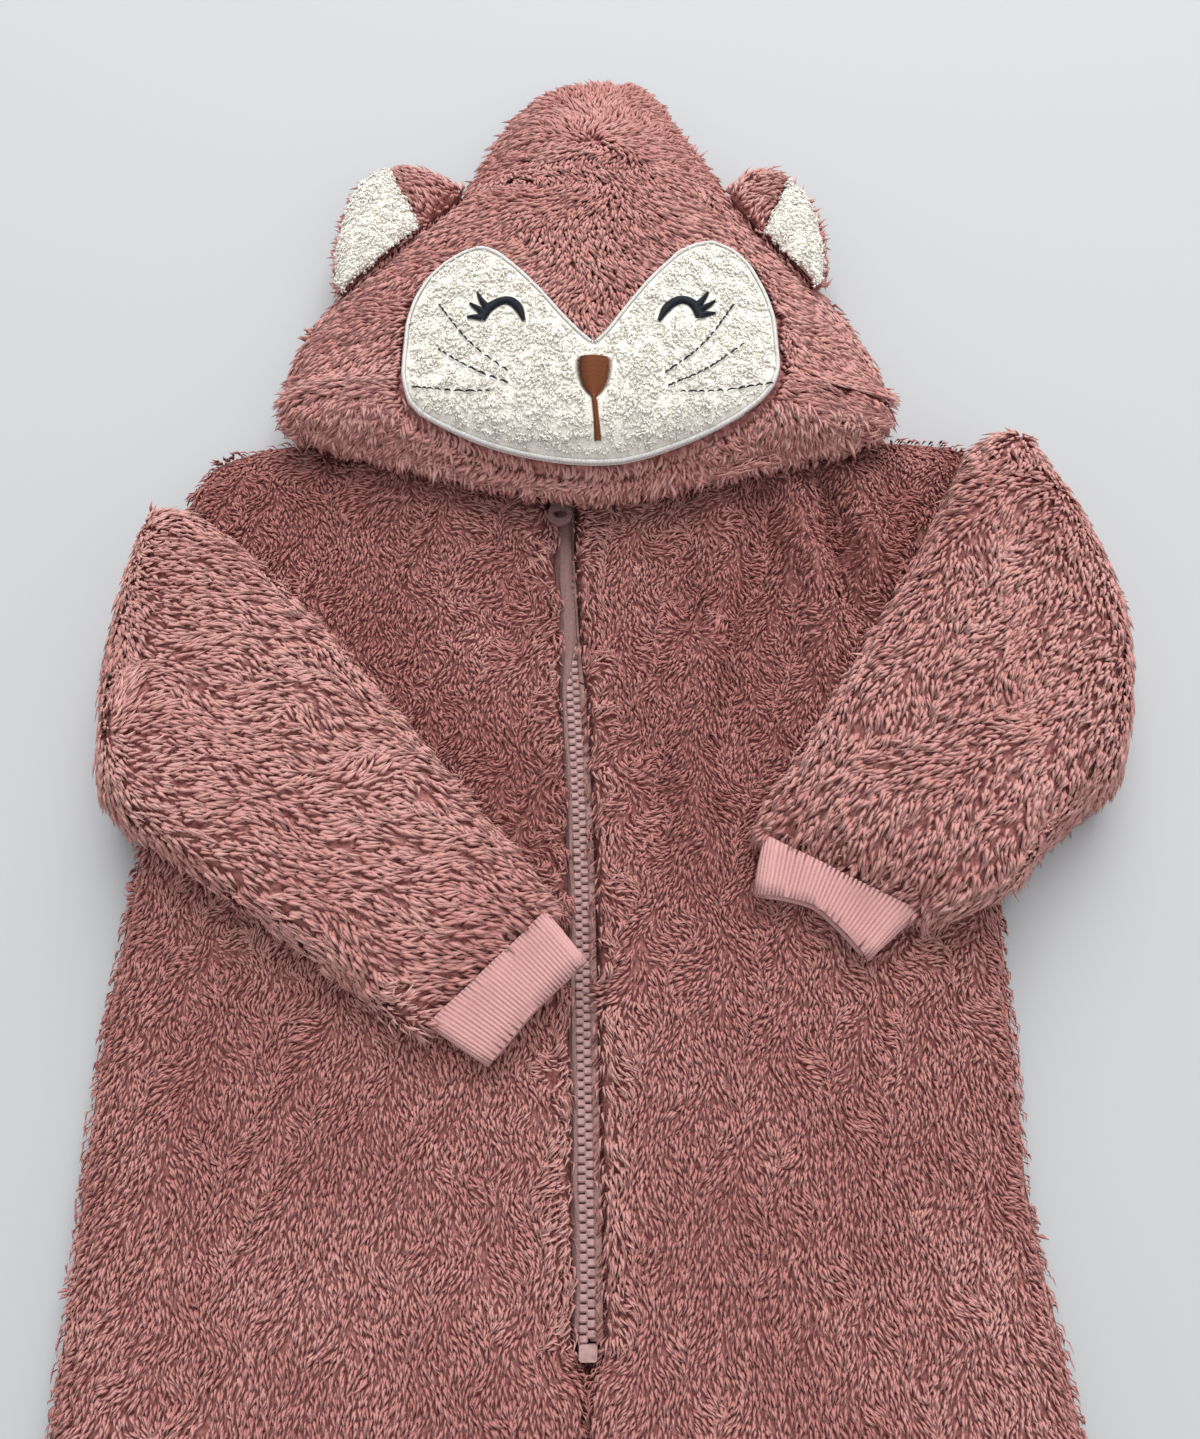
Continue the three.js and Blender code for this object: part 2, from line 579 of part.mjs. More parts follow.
function hoodGrid() {
  const grid = HOOD_LEVELS.map((level) => {
    const row = sectionAt(HOOD, 'y', level);
    return HOOD_SHARES.map((share) => ({
      x: lerp(row.left, row.right, share),
      y: level + row.bow * Math.abs(2 * share - 1) ** HOOD_SWEEP,
      row,
      share,
    }));
  });
  const line = edgeLine(grid);
  for (const place of grid.flat()) {
    const { row, share } = place;
    const across = 1 - Math.abs(2 * share - 1) ** HOOD_ARCH;
    const full = lerp(row.edge + HOOD_RISE.shoulder, row.peak, across);
    const fromEdge = distanceTo(line, place.x, place.y);
    const rimTop = row.edge + HOOD_RISE.lip;
    const rimBottom = row.edge - HOOD_RISE.under;
    place.top = lerp(rimTop, Math.max(full, rimTop), rounded(fromEdge, HOOD_RISE.round));
    place.bottom = lerp(rimBottom, Math.max(full - WALL, rimBottom), rounded(fromEdge, HOOD_RISE.inner));
    place.floor = row.floor;
  }
  return grid;
}

const hoodPlaces = hoodGrid();

const hoodCrown = () => clothSolid(hoodPlaces, RIMS.hoodCrown);

/* The hood's hidden layers, set back from its front edge. */
function hoodUnder() {
  const setBack = (row) => HOOD_SETBACK.by * clamp(1 - (row.y - HOOD[0].y) / HOOD_SETBACK.over, 0, 1);
  const grid = hoodPlaces.map((places) =>
    places.map(({ x, y, bottom, floor, row }) => ({
      x,
      y: y + setBack(row),
      top: bottom - SEAM,
      bottom: floor,
    })),
  );
  return clothSolid(grid, RIMS.hoodUnder);
}

/* The height of the hood's outer face at a place, read between the nearest places of its grid. */
function hoodTop(x, y) {
  for (let j = 1; j < hoodPlaces.length; j += 1) {
    for (let i = 1; i < hoodPlaces[0].length; i += 1) {
      const a = hoodPlaces[j - 1][i - 1];
      const b = hoodPlaces[j - 1][i];
      const c = hoodPlaces[j][i];
      const d = hoodPlaces[j][i - 1];
      const height = heightIn(a, b, c, x, y) ?? heightIn(a, c, d, x, y);
      if (height !== undefined) {
        return height;
      }
    }
  }
  return 0;
}

function heightIn(a, b, c, x, y) {
  const whole = (b.x - a.x) * (c.y - a.y) - (c.x - a.x) * (b.y - a.y);
  const shareB = ((x - a.x) * (c.y - a.y) - (c.x - a.x) * (y - a.y)) / whole;
  const shareC = ((b.x - a.x) * (y - a.y) - (x - a.x) * (b.y - a.y)) / whole;
  const inside = shareB >= -TOUCH && shareC >= -TOUCH && shareB + shareC <= 1 + TOUCH;
  return inside ? a.top + shareB * (b.top - a.top) + shareC * (c.top - a.top) : undefined;
}

function facePatch() {
  const grid = FACE_ACROSS.map((x) => {
    const row = sectionAt(FACE, 'x', x);
    return FACE_SHARES.map((share) => ({ x, y: lerp(row.low, row.high, share) }));
  });
  const line = edgeLine(grid);
  for (const place of grid.flat()) {
    const round = rounded(distanceTo(line, place.x, place.y), FACE_CLOTH.round);
    place.bottom = hoodTop(place.x, place.y) + FACE_CLOTH.lift;
    place.top = place.bottom + FACE_CLOTH.thick * lerp(FACE_CLOTH.rim, 1, round);
  }
  return clothSolid(grid, RIMS.face);
}

// ---- Ears ----

function earGrid(sections) {
  const rows = numbered(sections);
  return EAR_PLACES.map((place) => {
    const row = sectionAt(rows, 'at', place);
    const rootLow = hoodTop(row.rootX, row.rootY) + EAR.seat;
    return EAR_SHARES.map((out) => {
      const x = lerp(row.rootX, row.rimX, out);
      const y = lerp(row.rootY, row.rimY, out);
      const falling = lerp(rootLow, EAR.rimLow, out ** EAR.droop);
      const clearOfHood = hoodTop(x, y) + lerp(EAR.seat, EAR.clear, Math.min(1, out / EAR.clearFrom));
      return { x, y, roll: row.roll, low: Math.max(falling, clearOfHood) };
    });
  });
}

function earOuter(sections) {
  const grid = earGrid(sections);
  const line = edgeLine(grid);
  for (const place of grid.flat()) {
    const round = rounded(distanceTo(line, place.x, place.y), EAR.rollRound);
    place.bottom = place.low;
    place.top = place.low + lerp(EAR.outer, lerp(EAR.outer, EAR.rolled, round), place.roll);
  }
  return clothSolid(grid, RIMS.earOuter);
}

function earInner(sections) {
  const grid = earGrid(sections).filter((row) => row[0].roll === 0);
  const line = edgeLine(grid);
  for (const place of grid.flat()) {
    place.bottom = place.low + EAR.outer + SEAM;
    const round = rounded(distanceTo(line, place.x, place.y), EAR.innerRound);
    place.top = place.bottom + EAR.inner * lerp(EAR.innerRim, 1, round);
  }
  return clothSolid(grid, RIMS.earInner);
}

// ---- Cuffs ----

/* Evenly spaced points round a flat oval, as its distance across (0 to 1) and its height. */
function flatOval(count, width, height, depthAt = () => 0) {
  const radius = height / 2;
  const straight = width - height;
  const whole = 2 * straight + 2 * Math.PI * radius;
  return steps(0, 1, count).slice(0, -1).map((share, k) => {
    const at = share * whole;
    const depth = depthAt(k);
    if (at < straight) {
      return { across: radius + at, high: radius - depth };
    }
    if (at < straight + Math.PI * radius) {
      const angle = (at - straight) / radius;
      const size = radius - depth;
      return { across: radius + straight + size * Math.sin(angle), high: size * Math.cos(angle) };
    }
    if (at < 2 * straight + Math.PI * radius) {
      return { across: radius + straight - (at - straight - Math.PI * radius), high: depth - radius };
    }
    const angle = (at - 2 * straight - Math.PI * radius) / radius;
    const size = radius - depth;
    return { across: radius - size * Math.sin(angle), high: -size * Math.cos(angle) };
  });
}

function lengthOf(line) {
  return line.slice(1).reduce((sum, [x, y], k) => sum + Math.hypot(x - line[k][0], y - line[k][1]), 0);
}

function pointAlong(line, distance) {
  let left = distance;
  for (let k = 1; k < line.length; k += 1) {
    const [fromX, fromY] = line[k - 1];
    const [toX, toY] = line[k];
    const length = Math.hypot(toX - fromX, toY - fromY);
    if (left <= length || k === line.length - 1) {
      return [lerp(fromX, toX, left / length), lerp(fromY, toY, left / length)];
    }
    left -= length;
  }
  return line.at(-1);
}

/* A ring of a cuff's outer or inner face across one of its ends. */
function cuffRing(line, high, middle, inset, count, depthAt) {
  const width = lengthOf(line) - 2 * inset;
  return flatOval(count, width, high - 2 * inset, depthAt).map((point) => {
    const [x, y] = pointAlong(line, inset + point.across);
    return [x, y, middle + point.high];
  });
}

/* The line just past a sleeve's last section, on the side of a point of the cuff's mouth. */
function pastSleeve(sections, [towardX, towardY]) {
  const { upX, upY, lowX, lowY } = sections.at(-1);
  const length = Math.hypot(lowX - upX, lowY - upY);
  const side = Math.sign((towardX - upX) * (lowY - upY) - (towardY - upY) * (lowX - upX));
  const moveX = (side * SEAM * (lowY - upY)) / length;
  const moveY = (-side * SEAM * (lowX - upX)) / length;
  return [
    [upX + moveX, upY + moveY],
    [lowX + moveX, lowY + moveY],
  ];
}

/* A ribbed knit tube, lying flat: ribs on its outer face, plain inside, and open at both ends. */
function cuff({ sleeve, mouth, seam = pastSleeve(sleeve, mouth[0]), seamHigh, mouthHigh, floor }) {
  const outsidePoints = 2 * CUFF.ribs;
  const valley = (k) => (k % 2 ? CUFF.ribDepth : 0);
  const ends = [
    { line: seam, high: seamHigh },
    { line: mouth, high: mouthHigh },
  ];
  const rings = (inset, count, depthAt) =>
    ends.map(({ line, high }) => cuffRing(line, high, floor + high / 2, inset, count, depthAt));
  const outer = rings(0, outsidePoints, valley);
  const inner = rings(CUFF.wall, CUFF.insidePoints);
  const positions = [...outer.flat(), ...inner.flat()].flat();
  const outerAt = (end, k) => end * outsidePoints + (k % outsidePoints);
  const innerAt = (end, k) => 2 * outsidePoints + end * CUFF.insidePoints + (k % CUFF.insidePoints);
  const index = [];
  for (let k = 0; k < outsidePoints; k += 1) {
    index.push(outerAt(0, k), outerAt(1, k), outerAt(1, k + 1));
    index.push(outerAt(0, k), outerAt(1, k + 1), outerAt(0, k + 1));
  }
  for (let k = 0; k < CUFF.insidePoints; k += 1) {
    index.push(innerAt(0, k), innerAt(1, k + 1), innerAt(1, k));
    index.push(innerAt(0, k), innerAt(0, k + 1), innerAt(1, k + 1));
  }
  const perInside = outsidePoints / CUFF.insidePoints;
  for (let k = 0; k < outsidePoints; k += 1) {
    const inside = Math.floor(k / perInside);
    index.push(outerAt(0, k), outerAt(0, k + 1), innerAt(0, inside));
    index.push(outerAt(1, k + 1), outerAt(1, k), innerAt(1, inside));
    if ((k + 1) % perInside === 0) {
      index.push(outerAt(0, k + 1), innerAt(0, inside + 1), innerAt(0, inside));
      index.push(innerAt(1, inside + 1), outerAt(1, k + 1), innerAt(1, inside));
    }
  }
  return outward(geometryOf(positions, index));
}

/* Turns a closed mesh's triangles over where they face in. */
function outward(geometry) {
  const points = geometry.getAttribute('position');
  const index = geometry.getIndex().array;
  const corner = (k) => new THREE.Vector3().fromBufferAttribute(points, index[k]);
  let volume = 0;
  for (let k = 0; k < index.length; k += 3) {
    volume += corner(k).dot(corner(k + 1).cross(corner(k + 2)));
  }
  if (volume < 0) {
    for (let k = 0; k < index.length; k += 3) {
      [index[k + 1], index[k + 2]] = [index[k + 2], index[k + 1]];
    }
  }
  return geometry;
}

// ---- Zip ----

const zipX = (y) => sectionAt(BODY, 'y', y).leftInner;

/* A flat strip along the zip's line, between two distances from it. */
function zipStrip(from, to, low, high) {
  const grid = steps(ZIP.bottom, ZIP.top, ZIP.steps).map((y) =>
    [from, to].map((aside) => ({ x: zipX(y) + aside, y, top: high, bottom: low })),
  );
  return clothSolid(grid, []);
}

function roundedRectangle(width, length, corner) {
  const shape = new THREE.Shape();
  const [x, y] = [width / 2, length / 2];
  shape.moveTo(-x + corner, -y);
  shape.lineTo(x - corner, -y);
  shape.absarc(x - corner, -y + corner, corner, -Math.PI / 2, 0);
  shape.lineTo(x, y - corner);
  shape.absarc(x - corner, y - corner, corner, 0, Math.PI / 2);
  shape.lineTo(-x + corner, y);
  shape.absarc(-x + corner, y - corner, corner, Math.PI / 2, Math.PI);
  shape.lineTo(-x, -y + corner);
  shape.absarc(-x + corner, -y + corner, corner, Math.PI, 1.5 * Math.PI);
  return shape;
}

const extruded = (shape, depth, curveSegments) =>
  new THREE.ExtrudeGeometry(shape, { depth, bevelEnabled: false, curveSegments });

function zipStop() {
  const shape = roundedRectangle(STOP.width, STOP.length, STOP.corner);
  const geometry = extruded(shape, STOP.height, CURVE_SEGMENTS.corner);
  const y = ZIP.bottom - SEAM - STOP.length / 2;
  geometry.translate(zipX(y) - ORIGIN.x, y - ORIGIN.y, ZIP.tapeHigh + SEAM);
  return geometry;
}

function solidOf(geometry) {
  geometry.deleteAttribute('normal');
  geometry.deleteAttribute('uv');
  const merged = mergeVertices(geometry, 1e-4);
  return new wasm.Manifold(
    new wasm.Mesh({
      numProp: 3,
      vertProperties: merged.getAttribute('position').array,
      triVerts: Uint32Array.from(merged.getIndex().array),
    }),
  );
}

function geometryFrom(solid) {
  const { vertProperties, triVerts } = solid.getMesh();
  const geometry = new THREE.BufferGeometry();
  geometry.setAttribute('position', new THREE.BufferAttribute(Float32Array.from(vertProperties), 3));
  geometry.setIndex(Array.from(triVerts));
  return geometry;
}

/* Draws an arch with rounded upper corners, counter-clockwise from its right foot. */
function drawArch(path, half, foot, top, corner) {
  path.moveTo(half, foot);
  path.lineTo(half, top - corner);
  path.quadraticCurveTo(half, top, half - corner, top);
  path.lineTo(-half + corner, top);
  path.quadraticCurveTo(-half, top, -half, top - corner);
  path.lineTo(-half, foot);
}

/* The slider's upper plate on the closed teeth, with the bow that carries the pull. */
function zipSlider() {
  const low = ZIP.chainHigh + SEAM;
  const plateShape = roundedRectangle(SLIDER.width, SLIDER.length, SLIDER.corner);
  const plate = extruded(plateShape, SLIDER.plate, CURVE_SEGMENTS.corner);
  plate.translate(0, 0, low);
  const high = PULL.z - low + BOW.aboveAxis;
  const bowShape = new THREE.Shape();
  drawArch(bowShape, BOW.half, 0, high, BOW.corner);
  const inside = new THREE.Path();
  drawArch(inside, BOW.half - BOW.wire, SLIDER.plate, high - BOW.wire, BOW.innerCorner);
  bowShape.holes.push(inside);
  const bow = extruded(bowShape, BOW.width, CURVE_SEGMENTS.bow);
  bow.translate(0, 0, -BOW.width / 2);
  bow.rotateX(Math.PI / 2);
  bow.rotateZ(Math.PI / 2);
  bow.translate(0, 0, low);
  const geometry = geometryFrom(solidOf(plate).add(solidOf(bow)));
  geometry.translate(zipX(SLIDER.y) - ORIGIN.x, SLIDER.y - ORIGIN.y, 0);
  return geometry;
}

/* The pull lies down the zip from its axis in the bow, and ends in a ring with an oval hole. */
function zipPull() {
  const { ring, reach, neck, neckEnd, flare, shoulder, eye, hole, thick } = PULL;
  const meetX = ring * Math.cos(shoulder);
  const meetY = -reach + ring * Math.sin(shoulder);
  const shape = new THREE.Shape();
  shape.moveTo(-neck, eye.from);
  shape.lineTo(-neck, -neckEnd);
  shape.quadraticCurveTo(-neck, -reach + flare, -meetX, meetY);
  shape.absarc(0, -reach, ring, Math.PI - shoulder, 2 * Math.PI + shoulder, false);
  shape.quadraticCurveTo(neck, -reach + flare, neck, -neckEnd);
  shape.lineTo(neck, eye.from);
  const slot = new THREE.Path();
  slot.moveTo(-eye.wide, -eye.from);
  slot.lineTo(eye.wide, -eye.from);
  slot.lineTo(eye.wide, -eye.to);
  slot.lineTo(-eye.wide, -eye.to);
  const grip = new THREE.Path();
  grip.absellipse(0, -reach, hole.wide, hole.high, 0, 2 * Math.PI, true);
  shape.holes.push(slot, grip);
  const geometry = extruded(shape, thick, CURVE_SEGMENTS.pull);
  geometry.translate(zipX(SLIDER.y) - ORIGIN.x, SLIDER.y - ORIGIN.y, PULL.z - thick / 2);
  return geometry;
}

// ---- The onesie ----

addPiece('back_left', backPanel('left'), fleece);
addPiece('back_right', backPanel('right'), fleece);
addPiece('front_left', frontPanel('left', PLAIN_FRONT, CHEST.plainRows), fleece);
addPiece('front_right', frontPanel('right', FOLDED_FRONT, CHEST.foldedRows), fleece);
addPiece('sleeve_left', sleeve(SLEEVE_LEFT), fleece);
addPiece('sleeve_right', sleeve(SLEEVE_RIGHT), fleece);
addPiece('wrist_cuff_left', cuff(WRIST_LEFT), ribbing);
addPiece('wrist_cuff_right', cuff(WRIST_RIGHT), ribbing);
for (const [side, ends] of Object.entries(ANKLES)) {
  const ankle = { ...ends, seamHigh: ANKLE_HIGH, mouthHigh: ANKLE_HIGH, floor: 0 };
  addPiece(`ankle_cuff_${side}`, cuff(ankle), ribbing);
}
addPiece('hood_under', hoodUnder(), fleece);
addPiece('hood_crown', hoodCrown(), fleece);
addPiece('face_patch', facePatch(), sherpa);
addPiece('ear_outer_left', earOuter(EAR_LEFT), fleece);
addPiece('ear_inner_left', earInner(EAR_LEFT), sherpa);
addPiece('ear_outer_right', earOuter(EAR_RIGHT), fleece);
addPiece('ear_inner_right', earInner(EAR_RIGHT), sherpa);
addPiece('zip_tape_left', zipStrip(-ZIP.tapeHalf, -ZIP.tapeGap, ZIP.tapeLow, ZIP.tapeHigh), tape);
addPiece('zip_tape_right', zipStrip(ZIP.tapeGap, ZIP.tapeHalf, ZIP.tapeLow, ZIP.tapeHigh), tape);
addPiece('zip_teeth', zipStrip(-ZIP.chainHalf, ZIP.chainHalf, ZIP.chainLow, ZIP.chainHigh), plastic);
addPiece('zip_stop', zipStop(), plastic);
addPiece('zip_slider', zipSlider(), paintedMetal);
addPiece('zip_pull', zipPull(), paintedMetal);

export default onesie;
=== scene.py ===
# %% [markdown]
# # A hooded teddy-fleece onesie, laid on its back
# The onesie lies zipped up on a pale floor, with both sleeves folded in and an animal's face on its hood.
# Its solids come ready made and fix every size. This lesson gives them their cloth: a knitted backing with
# a long pile, curly sherpa, rib cuffs, a moulded zip and embroidery. The pile is most of the work, so one
# function makes locks of hair, and each panel only says how its own pile is combed.

# %% Load the frame
import math

import bmesh
import bpy
import numpy as np
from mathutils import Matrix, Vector
from mathutils.bvhtree import BVHTree
from mathutils.kdtree import KDTree


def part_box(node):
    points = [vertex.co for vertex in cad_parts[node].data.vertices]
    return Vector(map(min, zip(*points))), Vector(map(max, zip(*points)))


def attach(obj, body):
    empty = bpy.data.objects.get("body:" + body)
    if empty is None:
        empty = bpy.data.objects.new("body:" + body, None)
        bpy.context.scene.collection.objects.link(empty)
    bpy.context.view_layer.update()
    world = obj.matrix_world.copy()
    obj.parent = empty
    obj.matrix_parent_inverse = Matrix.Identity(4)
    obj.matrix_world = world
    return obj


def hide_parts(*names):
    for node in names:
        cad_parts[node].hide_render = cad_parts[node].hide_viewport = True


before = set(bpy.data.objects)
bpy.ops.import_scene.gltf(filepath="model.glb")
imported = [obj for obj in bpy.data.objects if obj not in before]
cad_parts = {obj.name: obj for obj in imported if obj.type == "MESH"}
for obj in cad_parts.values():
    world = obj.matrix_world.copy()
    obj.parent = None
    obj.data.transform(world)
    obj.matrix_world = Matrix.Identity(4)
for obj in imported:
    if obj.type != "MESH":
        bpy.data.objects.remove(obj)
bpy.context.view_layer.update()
MM = 0.001


def placed(name, data):
    """A new object in the scene, from its data."""
    made = bpy.data.objects.new(name, data)
    bpy.context.scene.collection.objects.link(made)
    return made


# %% [markdown]
# ## The camera
# The camera looks down at the chest from about half a metre, leaning a little toward the hood. It is made
# first, so that every later step can be looked at. Its lens is given by how wide a view it takes in.

# %% Camera
CAMERA_PLACE = (-8 * MM, -73 * MM, 485 * MM)
CAMERA_LEAN = math.radians(20)
SENSOR_WIDTH = 36
FOCAL_LENGTH = 37.74

camera_data = bpy.data.cameras.new("camera")
camera_data.sensor_fit = "HORIZONTAL"
camera_data.sensor_width = SENSOR_WIDTH
camera_data.lens = FOCAL_LENGTH
camera_data.clip_start = 0.01
camera = placed("camera", camera_data)
camera.location = CAMERA_PLACE
camera.rotation_euler = (CAMERA_LEAN, 0, 0)
bpy.context.scene.camera = camera

# %% [markdown]
# ## Shader maths as expressions
# A node tree is easier to read as a sum than as a list of links. Each output is wrapped in a small class
# whose operators add Math nodes, and every other node comes from one method.

# %% Shader helper


class Wire:
    """A node's output, used like a number in an expression."""

    def __init__(self, finish, socket):
        self.finish = finish
        self.socket = socket

    def maths(self, operation, first, second):
        return self.finish.node("ShaderNodeMath", {"operation": operation}, {0: first, 1: second})

    def __add__(self, other):
        return self.maths("ADD", self, other)

    def __sub__(self, other):
        return self.maths("SUBTRACT", self, other)

    def __mul__(self, other):
        return self.maths("MULTIPLY", self, other)


class Finish:
    """A material whose nodes are added one at a time."""

    def __init__(self, name):
        self.material = bpy.data.materials.new(name)
        self.material.use_nodes = True
        self.tree = self.material.node_tree
        self.surface = self.tree.nodes["Principled BSDF"]

    def node(self, kind, settings=None, inputs=None, output=0):
        made = self.tree.nodes.new(kind)
        for key, value in (settings or {}).items():
            if key == "stops":
                self.set_stops(made.color_ramp, value)
            else:
                setattr(made, key, value)
        self.feed(made, inputs or {})
        return Wire(self, made.outputs[output])

    def set_stops(self, ramp, stops):
        while len(ramp.elements) < len(stops):
            ramp.elements.new(1)
        for element, (place, colour) in zip(ramp.elements, stops):
            element.position = place
            element.color = (*colour, 1)

    def feed(self, node, inputs):
        for key, value in inputs.items():
            if isinstance(value, Wire):
                self.tree.links.new(value.socket, node.inputs[key])
            else:
                node.inputs[key].default_value = value

    def shade(self, **inputs):
        self.feed(self.surface, {key.replace("_", " "): value for key, value in inputs.items()})

    def noise(self, scale, detail=2.0):
        place = self.node("ShaderNodeTexCoord", output="Object")
        return self.node("ShaderNodeTexNoise", {}, {"Vector": place, "Scale": scale, "Detail": detail})

    def bump(self, height, depth):
        return self.node("ShaderNodeBump", {}, {"Height": height, "Distance": depth})


# %% [markdown]
# ## Colours
# Colours are chosen as they look on a screen and turned into the linear light that shaders use.


# %% Colours
def linear(red, green, blue):
    """A colour given as 0 to 255 on a screen, as linear light."""
    return tuple(((v / 255 + 0.055) / 1.055) ** 2.4 for v in (red, green, blue))


# Each root colour is a painted shade and each tip colour a painted highlight of the pile's own colour.
ROSE_ROOT = linear(118, 56, 52)
ROSE_MID = linear(191, 132, 125)
ROSE_TIP = linear(232, 190, 180)
CREAM_ROOT = linear(230, 224, 210)
CREAM_MID = linear(243, 239, 229)
CREAM_TIP = linear(250, 248, 241)
RIB_ROSE = linear(216, 166, 161)
RIB_PAINTED_SHADE = linear(158, 106, 103)
TAPE_ROSE = linear(204, 166, 160)
TAPE_SHADE = linear(176, 138, 132)
TOOTH_ROSE = linear(192, 155, 148)
PAINT_ROSE = linear(150, 116, 117)
STITCH_INK = linear(24, 30, 42)
STITCH_BROWN = linear(128, 70, 30)
STITCH_WHITE = linear(244, 243, 240)
FLOOR_GREY = linear(189, 190, 191)

# %% [markdown]
# ## The pile's finish
# Fleece looks soft because each lock is dark at its root, where little light reaches, and pale at its tip.
# Both are painted into the colour: a painted shade at the root and a painted highlight at the tip. Two
# numbers
# are kept on every point of the pile: how far along the lock it is, and the lock's tone, which is partly its
# own tone and partly painted light.
# The sheen takes the pile's middle colour, because a white one would turn the shadows grey.


# %% Pile finish
def pile_finish(name, root, middle, tip, sheen):
    finish = Finish(name)
    along = finish.node("ShaderNodeAttribute", {"attribute_name": "along"}, output="Fac")
    tone = finish.node("ShaderNodeAttribute", {"attribute_name": "tone"}, output="Fac")
    hairs = finish.noise(1600.0)
    # Painted shade toward a lock's root, painted highlight toward its tip, plus the lock's tone and painted
    # light.
    shade = along * 0.6 + tone * 0.4 + hairs * 0.24 - 0.12
    stops = [(0.0, root), (0.5, middle), (1.0, tip)]
    colour = finish.node("ShaderNodeValToRGB", {"stops": stops}, {"Fac": shade})
    finish.shade(Base_Color=colour, Roughness=0.85, Specular_IOR_Level=0.1)
    finish.shade(Sheen_Weight=sheen, Sheen_Tint=(*middle, 1))
    return finish.material


rose_pile = pile_finish("rose_pile", ROSE_ROOT, ROSE_MID, ROSE_TIP, 0.4)
cream_pile = pile_finish("cream_pile", CREAM_ROOT, CREAM_MID, CREAM_TIP, 0.1)


def grained_finish(name, dark, light, scale, depth, roughness, metallic=0.0):
    """A finish mottled by fine noise: knitted backing, woven tape, moulded plastic or paint."""
    finish = Finish(name)
    grain = finish.noise(scale, 3.0)
    colour = finish.node("ShaderNodeValToRGB", {"stops": [(0.3, dark), (0.72, light)]}, {"Fac": grain})
    bump = finish.bump(grain, depth)
    finish.shade(Base_Color=colour, Roughness=roughness, Metallic=metallic, Normal=bump)
    return finish.material


# Backings run from root to middle colour: partly the cloth's own, partly painted shade between locks.
rose_backing = grained_finish("rose_backing", ROSE_ROOT, ROSE_MID, 420.0, 1.2 * MM, 0.95)
cream_backing = grained_finish("cream_backing", CREAM_ROOT, CREAM_MID, 420.0, 0.8 * MM, 0.95)
woven_tape = grained_finish("woven_tape", TAPE_SHADE, TAPE_ROSE, 1300.0, 0.12 * MM, 0.9)
moulded = grained_finish("moulded", PAINT_ROSE, TOOTH_ROSE, 500.0, 0.03 * MM, 0.45)
paint = grained_finish("paint", TAPE_SHADE, PAINT_ROSE, 700.0, 0.02 * MM, 0.4, 0.3)

BACKINGS = {"fleece": rose_backing, "sherpa": cream_backing, "tape": woven_tape}
PILES = {"fleece": rose_pile, "sherpa": cream_pile}


def thread_finish(name, colour, shade):
    """Embroidery thread, with painted shade where it goes into the cloth and a little on its sides."""
    finish = Finish(name)
    along = finish.node("ShaderNodeAttribute", {"attribute_name": "along"}, output="Fac")
    stops = [(0.0, shade), (0.35, colour)]
    thread = finish.node("ShaderNodeValToRGB", {"stops": stops}, {"Fac": along})
    finish.shade(Base_Color=thread, Roughness=0.55, Specular_IOR_Level=0.3)
    return finish.material


ink_thread = thread_finish("ink_thread", STITCH_INK, linear(10, 14, 22))
brown_thread = thread_finish("brown_thread", STITCH_BROWN, linear(84, 44, 20))
white_thread = thread_finish("white_thread", STITCH_WHITE, linear(232, 229, 224))


def rib_finish():
    """Rib knit with painted shade in its valleys, which the pit column marks."""
    finish = Finish("rib_knit")
    pit = finish.node("ShaderNodeAttribute", {"attribute_name": "pit"}, output="Fac")
    yarn = finish.noise(1400.0, 3.0)
    stops = [(0.1, RIB_ROSE), (0.9, RIB_PAINTED_SHADE)]
    colour = finish.node("ShaderNodeValToRGB", {"stops": stops}, {"Fac": pit * 0.75 + yarn * 0.5 - 0.2})
    finish.shade(Base_Color=colour, Roughness=0.9, Normal=finish.bump(yarn, 0.25 * MM))
    return finish.material


rib_knit = rib_finish()

# %% [markdown]
# ## Cloth under the pile
# The solids reach as far as the pile's tips, so the knitted cloth lies a few millimetres inside them. Each
# panel starts as a copy of its solid, is smoothed once and drawn in along its normals: a lot where pile
# will stand on it, and hardly at all on the side that rests on the next layer. Soft troughs and ridges are
# then pressed into it, each a row of a table: from, to, width and rise, in millimetres.

# %% Cloth helper
PILE_DEPTH = 2.6 * MM
REST_DEPTH = 0.2 * MM
SHELL_WALL = 2 * MM
FACES_DOWN = -0.6
CREASE_BOW = 0.06
CREASE_ENDS = 0.12
GARMENT = "garment"


def creased(places, creases):
    """How far each place rises or sinks under a table of soft creases."""
    rise = np.zeros(len(places))
    for (x0, y0), (x1, y1), width, height in creases:
        start, run = np.array([x0, y0]) * MM, np.array([x1 - x0, y1 - y0]) * MM
        share = np.clip((places[:, :2] - start) @ run / (run @ run), 0, 1)
        bow = np.stack([-run[1], run[0]]) * CREASE_BOW * np.sin(share * 2 * math.pi)[:, None]
        aside = np.linalg.norm(places[:, :2] - start - share[:, None] * run - bow, axis=1)
        fade = np.sin(np.pi * (CREASE_ENDS + (1 - 2 * CREASE_ENDS) * share))
        rise += height * MM * np.exp(-((aside / (width * MM)) ** 2)) * fade
    return rise


